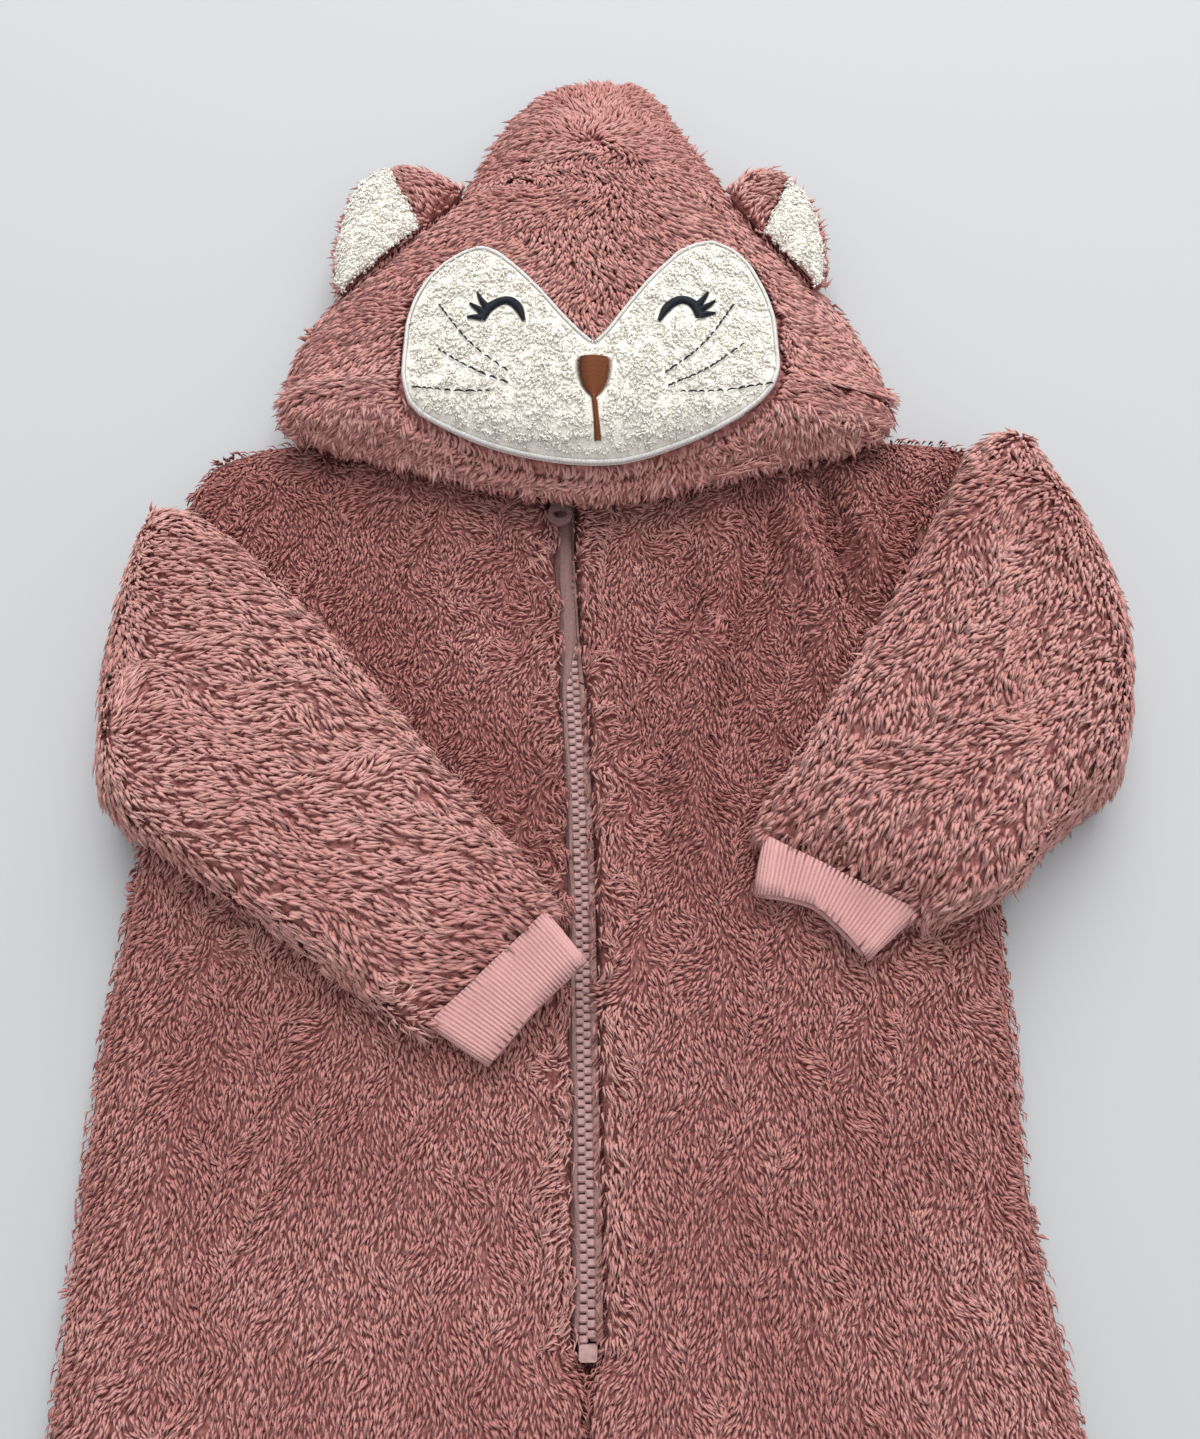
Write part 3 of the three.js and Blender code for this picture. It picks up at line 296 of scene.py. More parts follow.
def cloth_from(node, depth, slot="fleece", cuts=1, soften=0.3, creases=(), hollow=False, name=None):
    """A panel's cloth, from its solid: the solid's form, drawn in by the pile's depth."""
    name = name or f"{node}_cloth"
    shape = bmesh.new()
    shape.from_mesh(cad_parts[node].data)
    bmesh.ops.remove_doubles(shape, verts=shape.verts, dist=0.01 * MM)
    bmesh.ops.subdivide_edges(shape, edges=shape.edges, cuts=cuts, use_grid_fill=True)
    axes = {"use_axis_x": True, "use_axis_y": True, "use_axis_z": True}
    bmesh.ops.smooth_vert(shape, verts=shape.verts, factor=soften, **axes)
    bmesh.ops.triangulate(shape, faces=shape.faces)
    shape.normal_update()
    places = np.array([vert.co for vert in shape.verts])
    normals = np.array([vert.normal for vert in shape.verts])
    drawn = np.where(normals[:, 2] < FACES_DOWN, REST_DEPTH, depth)
    places -= normals * drawn[:, None]
    places[:, 2] += creased(places, creases) * np.clip(normals[:, 2] * 2, 0, 1)
    for vert, place in zip(shape.verts, places):
        vert.co = place
    if hollow:
        make_hollow(shape)
    mesh = bpy.data.meshes.new(name)
    shape.to_mesh(mesh)
    shape.free()
    return finished(name, mesh, BACKINGS[slot], [node])


def make_hollow(shape):
    """Gives a closed form an inner skin, so that it is a thin wall of cloth."""
    shape.normal_update()
    copied = bmesh.ops.duplicate(shape, geom=shape.verts[:] + shape.edges[:] + shape.faces[:])["geom"]
    inner = [item for item in copied if isinstance(item, bmesh.types.BMVert)]
    for vert in inner:
        vert.co -= vert.normal * SHELL_WALL
    bmesh.ops.reverse_faces(shape, faces=[item for item in copied if isinstance(item, bmesh.types.BMFace)])


def finished(name, mesh, material, replaced=()):
    """Puts a mesh in the scene as a smooth piece of the garment, with its material."""
    mesh.materials.clear()
    mesh.materials.append(material)
    mesh.polygons.foreach_set("use_smooth", np.ones(len(mesh.polygons), dtype=bool))
    piece = placed(name, mesh)
    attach(piece, GARMENT)
    if replaced:
        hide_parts(*replaced)
    return piece


# %% [markdown]
# ## Scattering the roots
# Roots thrown at random leave bald spots. Many more places than needed are drawn, and one is kept in each
# small cell of space, which spreads them evenly and still leaves them irregular.


# %% Scatter helper
def triangles_of(piece):
    mesh = piece.data
    mesh.calc_loop_triangles()
    places = np.empty(len(mesh.vertices) * 3, np.float64)
    mesh.vertices.foreach_get("co", places)
    normals = np.empty(len(mesh.vertices) * 3, np.float64)
    mesh.vertices.foreach_get("normal", normals)
    corners = np.empty(len(mesh.loop_triangles) * 3, np.int64)
    mesh.loop_triangles.foreach_get("vertices", corners)
    corners = corners.reshape(-1, 3)
    return places.reshape(-1, 3)[corners], normals.reshape(-1, 3)[corners]


def unit(vectors):
    return vectors / np.maximum(np.linalg.norm(vectors, axis=1, keepdims=True), 1e-12)


CANDIDATES_PER_ROOT = 7
CELL_STRIDES = np.array([1, 4096, 4096**2])


def cell_keys(points, size):
    """One whole number for the small cube of space that each point lies in."""
    cells = np.floor(points / size).astype(np.int64)
    return (cells - cells.min(axis=0)) @ CELL_STRIDES


def scatter(piece, spacing, seed):
    """Roots spread evenly over a piece, with the surface's normals there."""
    dice = np.random.default_rng(seed)
    places, normals = triangles_of(piece)
    areas = np.linalg.norm(np.cross(places[:, 1] - places[:, 0], places[:, 2] - places[:, 0]), axis=1) / 2
    count = int(areas.sum() / spacing**2 * CANDIDATES_PER_ROOT)
    chosen = dice.choice(len(areas), size=count, p=areas / areas.sum())
    a, b = dice.random(count), dice.random(count)
    over = a + b > 1
    a[over], b[over] = 1 - a[over], 1 - b[over]
    shares = np.stack([1 - a - b, a, b], axis=1)[:, :, None]
    points = (places[chosen] * shares).sum(axis=1)
    facing = unit((normals[chosen] * shares).sum(axis=1))
    upright = np.abs(facing).argmax(axis=1)
    flattened = points.copy()
    flattened[np.arange(count), upright] = 0
    keys = cell_keys(flattened, spacing) * 3 + upright + (facing[:, 2] < 0) * CELL_STRIDES[2] * 8192
    _, kept = np.unique(keys, return_index=True)
    return points[kept], facing[kept]


WAVES = 12


def ripple(points, wavelength, seed):
    """Smooth waves over space between about -1 and 1, different for each seed."""
    dice = np.random.default_rng(seed)
    total = np.zeros(len(points))
    for _ in range(WAVES):
        direction = dice.normal(size=3)
        direction *= 2 * math.pi / (wavelength * np.linalg.norm(direction) * dice.uniform(0.55, 1.8))
        total += np.sin(points @ direction + dice.uniform(0, 2 * math.pi))
    return total / math.sqrt(WAVES * 1.25)


# %% [markdown]
# ## A lock of pile
# A lock is a three-sided spindle that leaves the cloth upright and bends over the way it is combed: a point
# at the root, one to three rings and a point at the tip. Its two lower edges count as nearer the root than
# its ridge, which paints shade on its sides, so that a thin dark line of painted shade separates it from its
# neighbours. Hundreds of thousands of faces are needed, so the locks are made together from arrays and
# joined into one mesh. Neighbours lean toward a shared tuft, because real fleece clumps, and no lock goes
# through the floor.

# %% Lock helper
SIDES = 3
FLOOR_CLEAR = 0.3 * MM
ROOT_SINK = 0.5 * MM
TUFT_SIZE = 4 * MM
RINGS = {
    1: [(0.45, 1.0)],
    2: [(0.33, 0.95), (0.7, 0.85)],
    3: [(0.2, 0.9), (0.5, 1.0), (0.8, 0.85)],
}


def tufted(roots, tips, pull, seed):
    """Draws the tips together, so that neighbours share a tuft."""
    shifted = roots + np.random.default_rng(seed).random(3) * TUFT_SIZE
    _, tuft = np.unique(cell_keys(shifted, TUFT_SIZE), return_inverse=True)
    counts = np.bincount(tuft)
    middles = np.stack([np.bincount(tuft, tips[:, k]) / counts for k in range(3)], axis=1)
    return tips + (middles[tuft] - tips) * pull, tuft


def slivers(name, start, bend, tips, up, width, tone, rings, wave, painted_side_shade):
    """One mesh of spindles, each bent from its start over bend to its tip."""
    count = len(start)
    side = unit(np.cross(up, tips - start))
    per_lock = rings * SIDES + 2
    points = np.empty((count, per_lock, 3))
    along = np.zeros((count, per_lock))
    points[:, 0] = start
    for ring, (share, wide) in enumerate(RINGS[rings]):
        centre = start * (1 - share) ** 2 + bend * 2 * share * (1 - share) + tips * share**2
        centre = centre + side * np.asarray(wave * math.sin(2 * math.pi * share)).reshape(-1, 1)
        for corner in range(SIDES):
            turn = 2 * math.pi * corner / SIDES + math.pi / 2
            out = side * math.cos(turn) + up * (0.6 * math.sin(turn))
            place = 1 + ring * SIDES + corner
            points[:, place] = centre + out * (width * wide * 0.5)[:, None]
            # The lower corners take painted shade, as if nearer the root.
            along[:, place] = max(share - painted_side_shade, 0) if corner else share
    points[:, -1] = tips
    along[:, -1] = 1.0
    points[:, :, 2] = np.maximum(points[:, :, 2], FLOOR_CLEAR * 0.5)
    mesh = joined_locks(name, points, rings)
    add_column(mesh, "along", along.ravel())
    add_column(mesh, "tone", np.repeat(np.clip(tone, 0, 1), per_lock))
    return mesh


def sliver_faces(rings):
    """The faces of one spindle and their places in its own cell of the texture."""
    last = (rings - 1) * SIDES + 1
    tip = rings * SIDES + 1
    faces, uvs = [], []
    for corner in range(SIDES):
        after = (corner + 1) % SIDES
        left, right, middle = corner / SIDES, (corner + 1) / SIDES, (corner + 0.5) / SIDES
        low, high = 1 / (rings + 1), rings / (rings + 1)
        faces += [(0, 1 + after, 1 + corner), (last + corner, last + after, tip)]
        uvs += [((middle, 0), (right, low), (left, low)), ((left, high), (right, high), (middle, 1))]
        for ring in range(rings - 1):
            a, b = 1 + ring * SIDES, 1 + (ring + 1) * SIDES
            base, top = (ring + 1) / (rings + 1), (ring + 2) / (rings + 1)
            faces += [(a + corner, a + after, b + after), (a + corner, b + after, b + corner)]
            uvs += [((left, base), (right, base), (right, top)), ((left, base), (right, top), (left, top))]
    return np.array(faces), np.array(uvs)


def joined_locks(name, points, rings):
    count, per_lock = points.shape[:2]
    template, uvs = sliver_faces(rings)
    index = (template[None] + (np.arange(count) * per_lock)[:, None, None]).reshape(-1, 3)
    mesh = bpy.data.meshes.new(name)
    mesh.vertices.add(count * per_lock)
    mesh.vertices.foreach_set("co", points.astype(np.float32).ravel())
    mesh.loops.add(index.size)
    mesh.loops.foreach_set("vertex_index", index.astype(np.int32).ravel())
    mesh.polygons.add(len(index))
    mesh.polygons.foreach_set("loop_start", np.arange(0, index.size, 3, dtype=np.int32))
    mesh.update(calc_edges=True)
    wide = math.ceil(math.sqrt(count))
    cell = np.stack([np.arange(count) % wide, np.arange(count) // wide], axis=1)
    inset = 0.08 + 0.84 * uvs.reshape(-1, 2)
    places = (cell[:, None, :] + inset[None]) / wide
    layer = mesh.uv_layers.new(name="OFBake")
    layer.data.foreach_set("uv", places.astype(np.float32).ravel())
    mesh.validate()
    return mesh


def add_column(mesh, name, values):
    column = mesh.attributes.new(name, "FLOAT", "POINT")
    column.data.foreach_set("value", values.astype(np.float32))


# %% [markdown]
# ## Which places need pile
# Where a sleeve or the hood lies over the front, nothing shows, so no lock is grown there. A ray sent up
# from a root tells whether something covers it; a few rays round the root keep the pile near an edge.

# %% Cover helper
COVER_REACH = 7 * MM


def tree_of(nodes):
    points, faces = [], []
    for node in nodes:
        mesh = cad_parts[node].data
        base = len(points)
        points += [vert.co.copy() for vert in mesh.vertices]
        faces += [[base + k for k in face.vertices] for face in mesh.polygons]
    return BVHTree.FromPolygons(points, faces)


def covered(points, cover):
    """True where the covering nodes lie over a place and all round it."""
    around = [(0, 0), (COVER_REACH, 0), (-COVER_REACH, 0), (0, COVER_REACH), (0, -COVER_REACH)]
    up = Vector((0, 0, 1))
    result = np.zeros(len(points), bool)
    for k, (x, y, z) in enumerate(points):
        result[k] = all(cover.ray_cast(Vector((x + dx, y + dy, z + MM)), up)[0] for dx, dy in around)
    return result


def combed(directions, normals, angles):
    """Lays directions along the surface and turns each by its own angle about the normal."""
    flat = directions - normals * (directions * normals).sum(axis=1, keepdims=True)
    flat = unit(flat + 1e-6)
    aside = np.cross(normals, flat)
    return flat * np.cos(angles)[:, None] + aside * np.sin(angles)[:, None]


# %% [markdown]
# ## Growing the pile
# A pile is a table of numbers, which differ between the curly chest, the combed sleeves and the long edge
# of the hood. Spacing, length and width are a lock's sizes, lift is how steeply it stands and rings is how
# many joints it has. Wild and swirl turn whole patches off the comb, stray turns single locks, and lively
# says where. Curl and wave bend a lock sideways, pull gathers tufts, and clump raises patches of roots.
# Its tone (tone) is partly its own shade and partly painted light: the sleeves and hood are paler
# than the chest, as painted light for how their combed nap catches the light. Mottle is how far the tone
# varies, and edge how much painted shade darkens its sides. At a border it gains the given share of length
# (gain), lift (stand) and painted light on its tone (painted_border_light).


# %% Pile helper
SHOWN_DOWN_TO = -0.25
PATCH_SIZES = {"calm": 60 * MM, "fine": 30 * MM, "broad": 90 * MM}
# Patches of random tone, and painted shade in the hollows between clumps (clump).
PATCH_TONES_AND_SHADE = {"fine": 0.1, "broad": 0.16, "clump": 0.08, "tuft": 0.08, "calm": 0.36}
CALM_SPREAD, CALM_LIMITS = 0.5, (0.35, 1.6)
LENGTH_SPREAD, OTHER_SPREAD = 0.2, (0.7, 1.3)
STEEP_LIFT, NEAR_CURL = 0.15, 0.5
BEND_RISE, BEND_REACH, TIP_REACH = 1.2, 0.3, 0.95


def grow(name, cloth, direction, pile, seed, keep=None, border=None, slot="fleece"):
    """Covers cloth with locks, combed by one function; others say where they grow and lie at a border."""
    roots, normals = scatter(cloth, pile["spacing"], seed)
    shown = normals[:, 2] > SHOWN_DOWN_TO
    if keep is not None:
        shown &= keep(roots, normals)
    roots, normals = roots[shown], normals[shown]
    dice = np.random.default_rng(seed + 1)
    count = len(roots)
    clump = np.clip(ripple(roots, pile["clump_size"], seed + 6), -1, 1) + 1
    roots = roots + normals * (pile["clump"] * clump)[:, None]
    calm = 1 + CALM_SPREAD * ripple(roots, PATCH_SIZES["calm"], seed + 4)
    lively = pile["lively"](roots)
    wild = math.radians(pile["wild"]) * np.clip(calm, *CALM_LIMITS) * lively
    swirls = ripple(roots, pile["swirl"], seed + 2) * wild
    angles = swirls + dice.normal(0, math.radians(pile["stray"]), count)
    comb = combed(direction(roots, normals), normals, angles)
    near = border(roots) if border else np.zeros(count)
    spread = 1 + LENGTH_SPREAD * dice.normal(size=count).clip(-2, 2)
    length = pile["length"] * spread * (1 + pile["gain"] * near)
    width = pile["width"] * dice.uniform(*OTHER_SPREAD, count)
    steep = 1 - np.clip(normals[:, 2], 0, 1)
    lift = pile["lift"] * dice.uniform(*OTHER_SPREAD, count) + STEEP_LIFT * steep + pile["stand"] * near
    curl = dice.normal(0, pile["curl"], count) + NEAR_CURL * near
    side = unit(np.cross(normals, comb))
    start = roots - normals * ROOT_SINK
    rise = normals * (length * lift)[:, None]
    bend = start + rise * BEND_RISE + comb * (length * BEND_REACH)[:, None]
    bend = bend + side * (length * curl)[:, None]
    tips = start + rise + comb * (length * TIP_REACH)[:, None]
    tips, tuft = tufted(roots, tips, pile["pull"], seed + 5)
    bend[:, 2] = np.maximum(bend[:, 2], FLOOR_CLEAR)
    tips[:, 2] = np.maximum(tips[:, 2], FLOOR_CLEAR)
    # Painted light at a border: beside the zip and round the face, where the pile lies in shade.
    tone = 0.5 + pile["tone"] + pile["painted_border_light"] * near
    tone = tone + PATCH_TONES_AND_SHADE["fine"] * ripple(roots, PATCH_SIZES["fine"], seed + 3)
    tone = tone + PATCH_TONES_AND_SHADE["broad"] * ripple(roots, PATCH_SIZES["broad"], seed + 7)
    # Painted shade on locks in the hollows between clumps; paler where the pile is calm.
    tone = tone + PATCH_TONES_AND_SHADE["clump"] * (clump - 1) + PATCH_TONES_AND_SHADE["calm"] * (1 - lively)
    tone = tone + dice.normal(0, PATCH_TONES_AND_SHADE["tuft"], tuft.max() + 1)[tuft]
    tone = tone + dice.normal(0, pile["mottle"], count)
    wave = length * pile["wave"] * dice.uniform(-1, 1, count)
    mesh = slivers(name, start, bend, tips, normals, width, tone, pile["rings"], wave, pile["edge"])
    print(name, count, "locks,", len(mesh.polygons), "triangles")
    return finished(name, mesh, PILES[slot])


def even(roots):
    return np.ones(len(roots))


WAIST_TO_CHEST, WAIST_TO_CHEST_LIVELY = (-80 * MM, 40 * MM), (0.5, 1.15)


def livelier_above(roots):
    """The pile is curlier on the chest and calmer below the waist."""
    return np.interp(roots[:, 1], WAIST_TO_CHEST, WAIST_TO_CHEST_LIVELY)


CHEST_PILE = {
    "spacing": 1.45 * MM, "length": 5 * MM, "width": 1.5 * MM, "lift": 0.4, "wild": 60, "stray": 14,
    "swirl": 17 * MM, "curl": 0.16, "wave": 0.0, "tone": -0.07, "pull": 0.3, "rings": 1,
    "clump": 0.3 * MM, "clump_size": 6 * MM, "edge": 0.36,
    "gain": 0.45, "stand": 0.0, "painted_border_light": 0.3, "lively": livelier_above, "mottle": 0.07,
}
LEG_PILE = {
    **CHEST_PILE, "spacing": 2.2 * MM, "length": 7 * MM, "width": 2 * MM, "wild": 40,
    "swirl": 26 * MM, "lively": even,
}
BACK_PILE = {**LEG_PILE, "length": 6.2 * MM}
# The sleeves and hood take a paler tone, partly painted light for how their combed nap catches the light.
SLEEVE_PILE = {
    **CHEST_PILE, "spacing": 1.34 * MM, "length": 8 * MM, "width": 2.1 * MM, "wild": 34, "stray": 12,
    "swirl": 26 * MM, "lift": 0.26, "tone": 0.32, "edge": 0.04, "lively": even,
    "mottle": 0.05, "pull": 0.18,
}
HOOD_PILE = {
    **SLEEVE_PILE, "length": 7.6 * MM, "lift": 0.36, "wild": 42, "swirl": 30 * MM, "tone": 0.25,
    "gain": -0.35, "stand": 0.25, "painted_border_light": 0.05, "edge": 0.1,
}
FRINGE_PILE = {
    **HOOD_PILE, "spacing": 1.8 * MM, "length": 9.5 * MM, "width": 2.1 * MM, "lift": 0.25, "wild": 18,
    "swirl": 14 * MM, "wave": 0.07, "tone": 0.5, "pull": 0.55, "rings": 2, "gain": -0.1, "stand": -0.25,
}
EAR_PILE = {**HOOD_PILE, "spacing": 1.9 * MM, "length": 5.6 * MM}
SIDE_PILE = {**LEG_PILE, "spacing": 2.4 * MM, "length": 6.5 * MM, "width": 1.8 * MM}
SHERPA_PILE = {
    **HOOD_PILE, "spacing": 1.05 * MM, "length": 2.8 * MM, "width": 1.5 * MM, "lift": 0.18, "wild": 170,
    "stray": 60, "swirl": 7 * MM, "curl": 0.4, "tone": 0.1, "pull": 0.4, "clump": 0.5 * MM,
    "clump_size": 5 * MM, "edge": 0.05, "mottle": 0.03,
}


# %% [markdown]
# ## Fronts and backs
# The two fronts hold the zip between them. Their pile is short and curly on the chest, where it has been
# rubbed, and longer and combed down toward the legs. Beside the zip it is longer, brushed away from the
# teeth and paler, as painted light that lifts the shade of the dip beside them. The creases run where the
# folded sleeves pull on the chest and where a leg would bend.

# %% The zip's line
teeth_points = np.array([vert.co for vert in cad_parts["zip_teeth"].data.vertices])
zip_levels = np.unique(np.round(teeth_points[:, 1], 5))
zip_middles = np.array([teeth_points[np.abs(teeth_points[:, 1] - y) < 1e-4, 0].mean() for y in zip_levels])
ZIP_LOW, ZIP_HIGH = zip_levels[0], zip_levels[-1]


def zip_x(y):
    return np.interp(y, zip_levels, zip_middles)


PLACKET_START, PLACKET_WIDTH = 5 * MM, 9 * MM
ZIP_CLEAR = 5.6 * MM
LEG_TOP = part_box("zip_stop")[0].y - 62 * MM
BRUSHED_OUT, BRUSHED_UP = 1.8, 0.6
SIDES_OUT, NAP_DOWN = 0.8, -0.2


def by_the_zip(roots):
    """1 beside the zip, falling to nothing within the placket's width."""
    aside = np.abs(roots[:, 0] - zip_x(roots[:, 1])) - PLACKET_START
    fall = np.exp(-((np.maximum(aside, 0) / PLACKET_WIDTH) ** 2))
    return fall * (roots[:, 1] > ZIP_LOW) * (roots[:, 1] < ZIP_HIGH)


def body_comb(roots, normals):
    """Down the body, outward at its sides and away from the zip beside it."""
    near = by_the_zip(roots)
    direction = np.zeros_like(roots)
    off_zip = np.sign(roots[:, 0] - zip_x(roots[:, 1]))
    direction[:, 0] = off_zip * near * BRUSHED_OUT + normals[:, 0] * SIDES_OUT
    direction[:, 1] = -1.0 + near * BRUSHED_UP
    direction[:, 2] = NAP_DOWN
    return direction


# %% Fronts and backs
FRONT_CREASES = {
    "left": [
        ((-104, 196), (-78, 77), 13, -3.4),
        ((-76, 200), (-62, 120), 10, 2),
        ((-158, 7), (-128, -163), 14, -2.5),
        ((-70, -20), (-40, -150), 16, 1.6),
        ((-128, -223), (-100, -373), 12, -2.5),
        ((-60, 60), (-50, -10), 11, -1.6),
        ((-60, -240), (-74, -340), 13, -1.6),
    ],
    "right": [
        ((79, 208), (97, 136), 5, -8),
        ((66, 208), (92, 100), 8, 6),
        ((95, 208), (112, 144), 7, 5.5),
        ((22, 206), (17, 30), 9, -4),
        ((52, 208), (48, 40), 8, -5),
        ((37, 208), (33, 45), 8, 3.4),
        ((100, -10), (60, -110), 14, -2),
        ((96, -230), (78, -350), 13, -2.4),
        ((36, -250), (44, -330), 11, -1.5),
    ],
}
OVER_FRONT = [
    "sleeve_left", "sleeve_right", "hood_under", "hood_crown", "wrist_cuff_left", "wrist_cuff_right",
]
over_front = tree_of(OVER_FRONT)


def on_chest(roots, normals):
    beside_zip = (np.abs(roots[:, 0] - zip_x(roots[:, 1])) < ZIP_CLEAR) & (roots[:, 1] > ZIP_LOW)
    return (roots[:, 1] >= LEG_TOP) & ~beside_zip & ~covered(roots, over_front)


def on_leg(roots, normals):
    return roots[:, 1] < LEG_TOP


for number, side in enumerate(("left", "right")):
    seed = 100 * (number + 1)
    own_front = tree_of([f"front_{side}"])

    def past_front(roots, normals, own_front=own_front):
        return ~covered(roots, own_front)

    back = cloth_from(f"back_{side}", PILE_DEPTH)
    front = cloth_from(f"front_{side}", PILE_DEPTH, cuts=2, creases=FRONT_CREASES[side])
    grow(f"chest_{side}_pile", front, body_comb, CHEST_PILE, seed, on_chest, by_the_zip)
    grow(f"leg_{side}_pile", front, body_comb, LEG_PILE, seed + 10, on_leg)
    grow(f"back_{side}_pile", back, body_comb, BACK_PILE, seed + 20, past_front)

# %% [markdown]
# ## Sleeves
# Each sleeve is a tube folded flat over the front. Its nap runs from the shoulder's fold to the cuff, and
# turns down over the lower edge. A few long soft folds run the same way.

# %% Sleeves
SLEEVE_NAP = {"left": (1.0, -0.22, 0.0), "right": (-0.62, -0.78, 0.0)}
EDGE_OUT, EDGE_TURN = 1.5, np.array([0, -0.5, -0.4])
SLEEVE_CREASES = {
    "left": [
        ((-186, 110), (-120, 88), 9, -2.2),
        ((-150, 150), (-80, 120), 11, 1.6),
        ((-120, 50), (-50, 30), 8, -1.6),
    ],
    "right": [
        ((196, 170), (150, 110), 9, -2.2),
        ((160, 200), (110, 150), 11, 1.6),
        ((140, 90), (90, 50), 8, -1.6),
    ],
}


def off_floor(roots, normals):
    return roots[:, 2] > FLOOR_CLEAR


for number, side in enumerate(("left", "right")):
    sleeve = cloth_from(f"sleeve_{side}", PILE_DEPTH, creases=SLEEVE_CREASES[side], hollow=True)
    nap = np.array(SLEEVE_NAP[side])

    def sleeve_comb(roots, normals, nap=nap):
        steep = (1 - np.clip(normals[:, 2], 0, 1))[:, None]
        return nap[None] + normals * steep * EDGE_OUT + EDGE_TURN * steep

    grow(f"sleeve_{side}_pile", sleeve, sleeve_comb, SLEEVE_PILE, 300 + 10 * number, off_floor)

# %% [markdown]
# ## Hood and ears
# The hood's pile lies forward along its middle and turns outward at its sides; round the face it is cropped,
# stands up and is a little paler, as painted light against the shade under the patch's edge. A second,
# longer row of pale locks hangs over its front edge, gathered into tufts.

# %% Hood and ears
PARTING_X, CREST_Y = -12.3 * MM, 368 * MM
PARTING_WIDTH, CREST_WIDTH = 38 * MM, 24 * MM
CREST_PULL, HOOD_DROOP = 0.8, -0.3
FRINGE_FALL = np.array([0, -0.5, -1.0])
FRONT_EDGE_TOP = 245 * MM
FACE_RING, FACE_CROP, NEAR_ENOUGH = 5 * MM, 0.8, 3
HOOD_CREASES = [
    ((-95, 330), (-30, 372), 12, -1.8),
    ((70, 345), (20, 385), 12, -1.6),
    ((-60, 205), (-20, 222), 10, 1.2),
]


def hood_comb(roots, normals):
    """Forward along the hood's middle, outward at its sides and back beyond its crest."""
    sideways = np.tanh((roots[:, 0] - PARTING_X) / PARTING_WIDTH)
    backward = np.tanh((roots[:, 1] - CREST_Y) / CREST_WIDTH)
    return np.column_stack([sideways, CREST_PULL * backward, np.full(len(roots), HOOD_DROOP)])


def hanging(roots, normals):
    """Forward and down over the hood's front edge."""
    return normals * 0.5 + FRINGE_FALL


over_crown = tree_of(["face_patch"])
crown_tree = tree_of(["hood_crown"])


def off_face(roots, normals):
    up = Vector((0, 0, 1))
    return np.array([over_crown.ray_cast(Vector(root) - up * MM, up)[0] is None for root in roots], bool)


def front_edge(roots, normals):
    forward = (normals[:, 1] < -0.15) & (normals[:, 2] > -0.1) & (roots[:, 1] < FRONT_EDGE_TOP)
    return forward & off_face(roots + np.array([0, -4, 0]) * MM, normals)


def under_face(roots):
    return (~off_face(roots, None)).astype(float)


def by_the_face(roots):
    """1 round the face patch, falling to nothing a few millimetres from it."""
    turns = np.arange(0, 2 * math.pi, math.pi / 4)
    ring = np.stack([np.cos(turns), np.sin(turns), np.zeros(len(turns))], axis=1) * FACE_RING
    near = sum(~off_face(roots + step, None) for step in ring)
    return np.clip(near / NEAR_ENOUGH, 0, 1) * FACE_CROP


def past_crown(roots, normals):
    return ~covered(roots, crown_tree)


hood_under = cloth_from("hood_under", PILE_DEPTH, hollow=True)
hood_crown = cloth_from("hood_crown", PILE_DEPTH, creases=HOOD_CREASES)
grow("hood_pile", hood_crown, hood_comb, HOOD_PILE, 500, off_face, by_the_face)
grow("hood_fringe", hood_crown, hanging, FRINGE_PILE, 540, front_edge, under_face)
grow("hood_side_pile", hood_under, hood_comb, SIDE_PILE, 520, past_crown)

EAR_DEPTH, SHERPA_DEPTH, FACE_DEPTH = 2 * MM, 1.2 * MM, 1.4 * MM
ear_root = np.array(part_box("hood_crown")[0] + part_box("hood_crown")[1]) / 2


def ear_comb(roots, normals):
    return unit((roots - ear_root) * np.array([1, 1, 0])) + normals * 0.1


def curly(roots, normals):
    """Sherpa has no nap: its curls turn every way, and the pile's wildness does that."""
    return np.tile([0.3, -1.0, 0.0], (len(roots), 1))


for number, side in enumerate(("left", "right")):
    outer = cloth_from(f"ear_outer_{side}", EAR_DEPTH)
    inner = cloth_from(f"ear_inner_{side}", SHERPA_DEPTH, "sherpa")
    inner_tree = tree_of([f"ear_inner_{side}"])

    def off_inner(roots, normals, inner_tree=inner_tree):
        return ~covered(roots, inner_tree)

    grow(f"ear_{side}_pile", outer, ear_comb, EAR_PILE, 600 + 10 * number, off_inner)
    grow(f"ear_{side}_sherpa", inner, curly, SHERPA_PILE, 650 + 10 * number, slot="sherpa")

# %% [markdown]
# ## The face's cloth and its stitches
# Each embroidered line is a short table of points on the cloth, in millimetres, rounded off by cutting its
# corners. Satin stitch lays threads side by side across the line, which has its own widths along the way.
# Whiskers are loose running stitches. The nose is filled level by level, from its height and half width.

# %% Stitch helper
face_cloth = cloth_from("face_patch", FACE_DEPTH, "sherpa", name="face_cloth")
face_points, _ = triangles_of(face_cloth)
face_tree = BVHTree.FromPolygons(
    [Vector(point) for point in face_points.reshape(-1, 3)],
    [(3 * k, 3 * k + 1, 3 * k + 2) for k in range(len(face_points))],
)
HIGH_UP = 200 * MM
# Painted shade on each thread's sides.
THREAD_SIDE_SHADE = 0.1
THREAD_RISE, THREAD_SINK = 0.5 * MM, 0.3 * MM
STITCH_MARKS = 9
OVERHANG = 1 * MM
stitched_places = []


def face_height(x, y):
    """The face cloth's height at a place, or None beside it."""
    hit = face_tree.ray_cast(Vector((x, y, HIGH_UP)), Vector((0, 0, -1)))[0]
    return None if hit is None else hit.z


def heights_of(places):
    heights = [face_height(x, y) for x, y in places]
    return np.array([math.nan if z is None else z for z in heights]) + THREAD_RISE


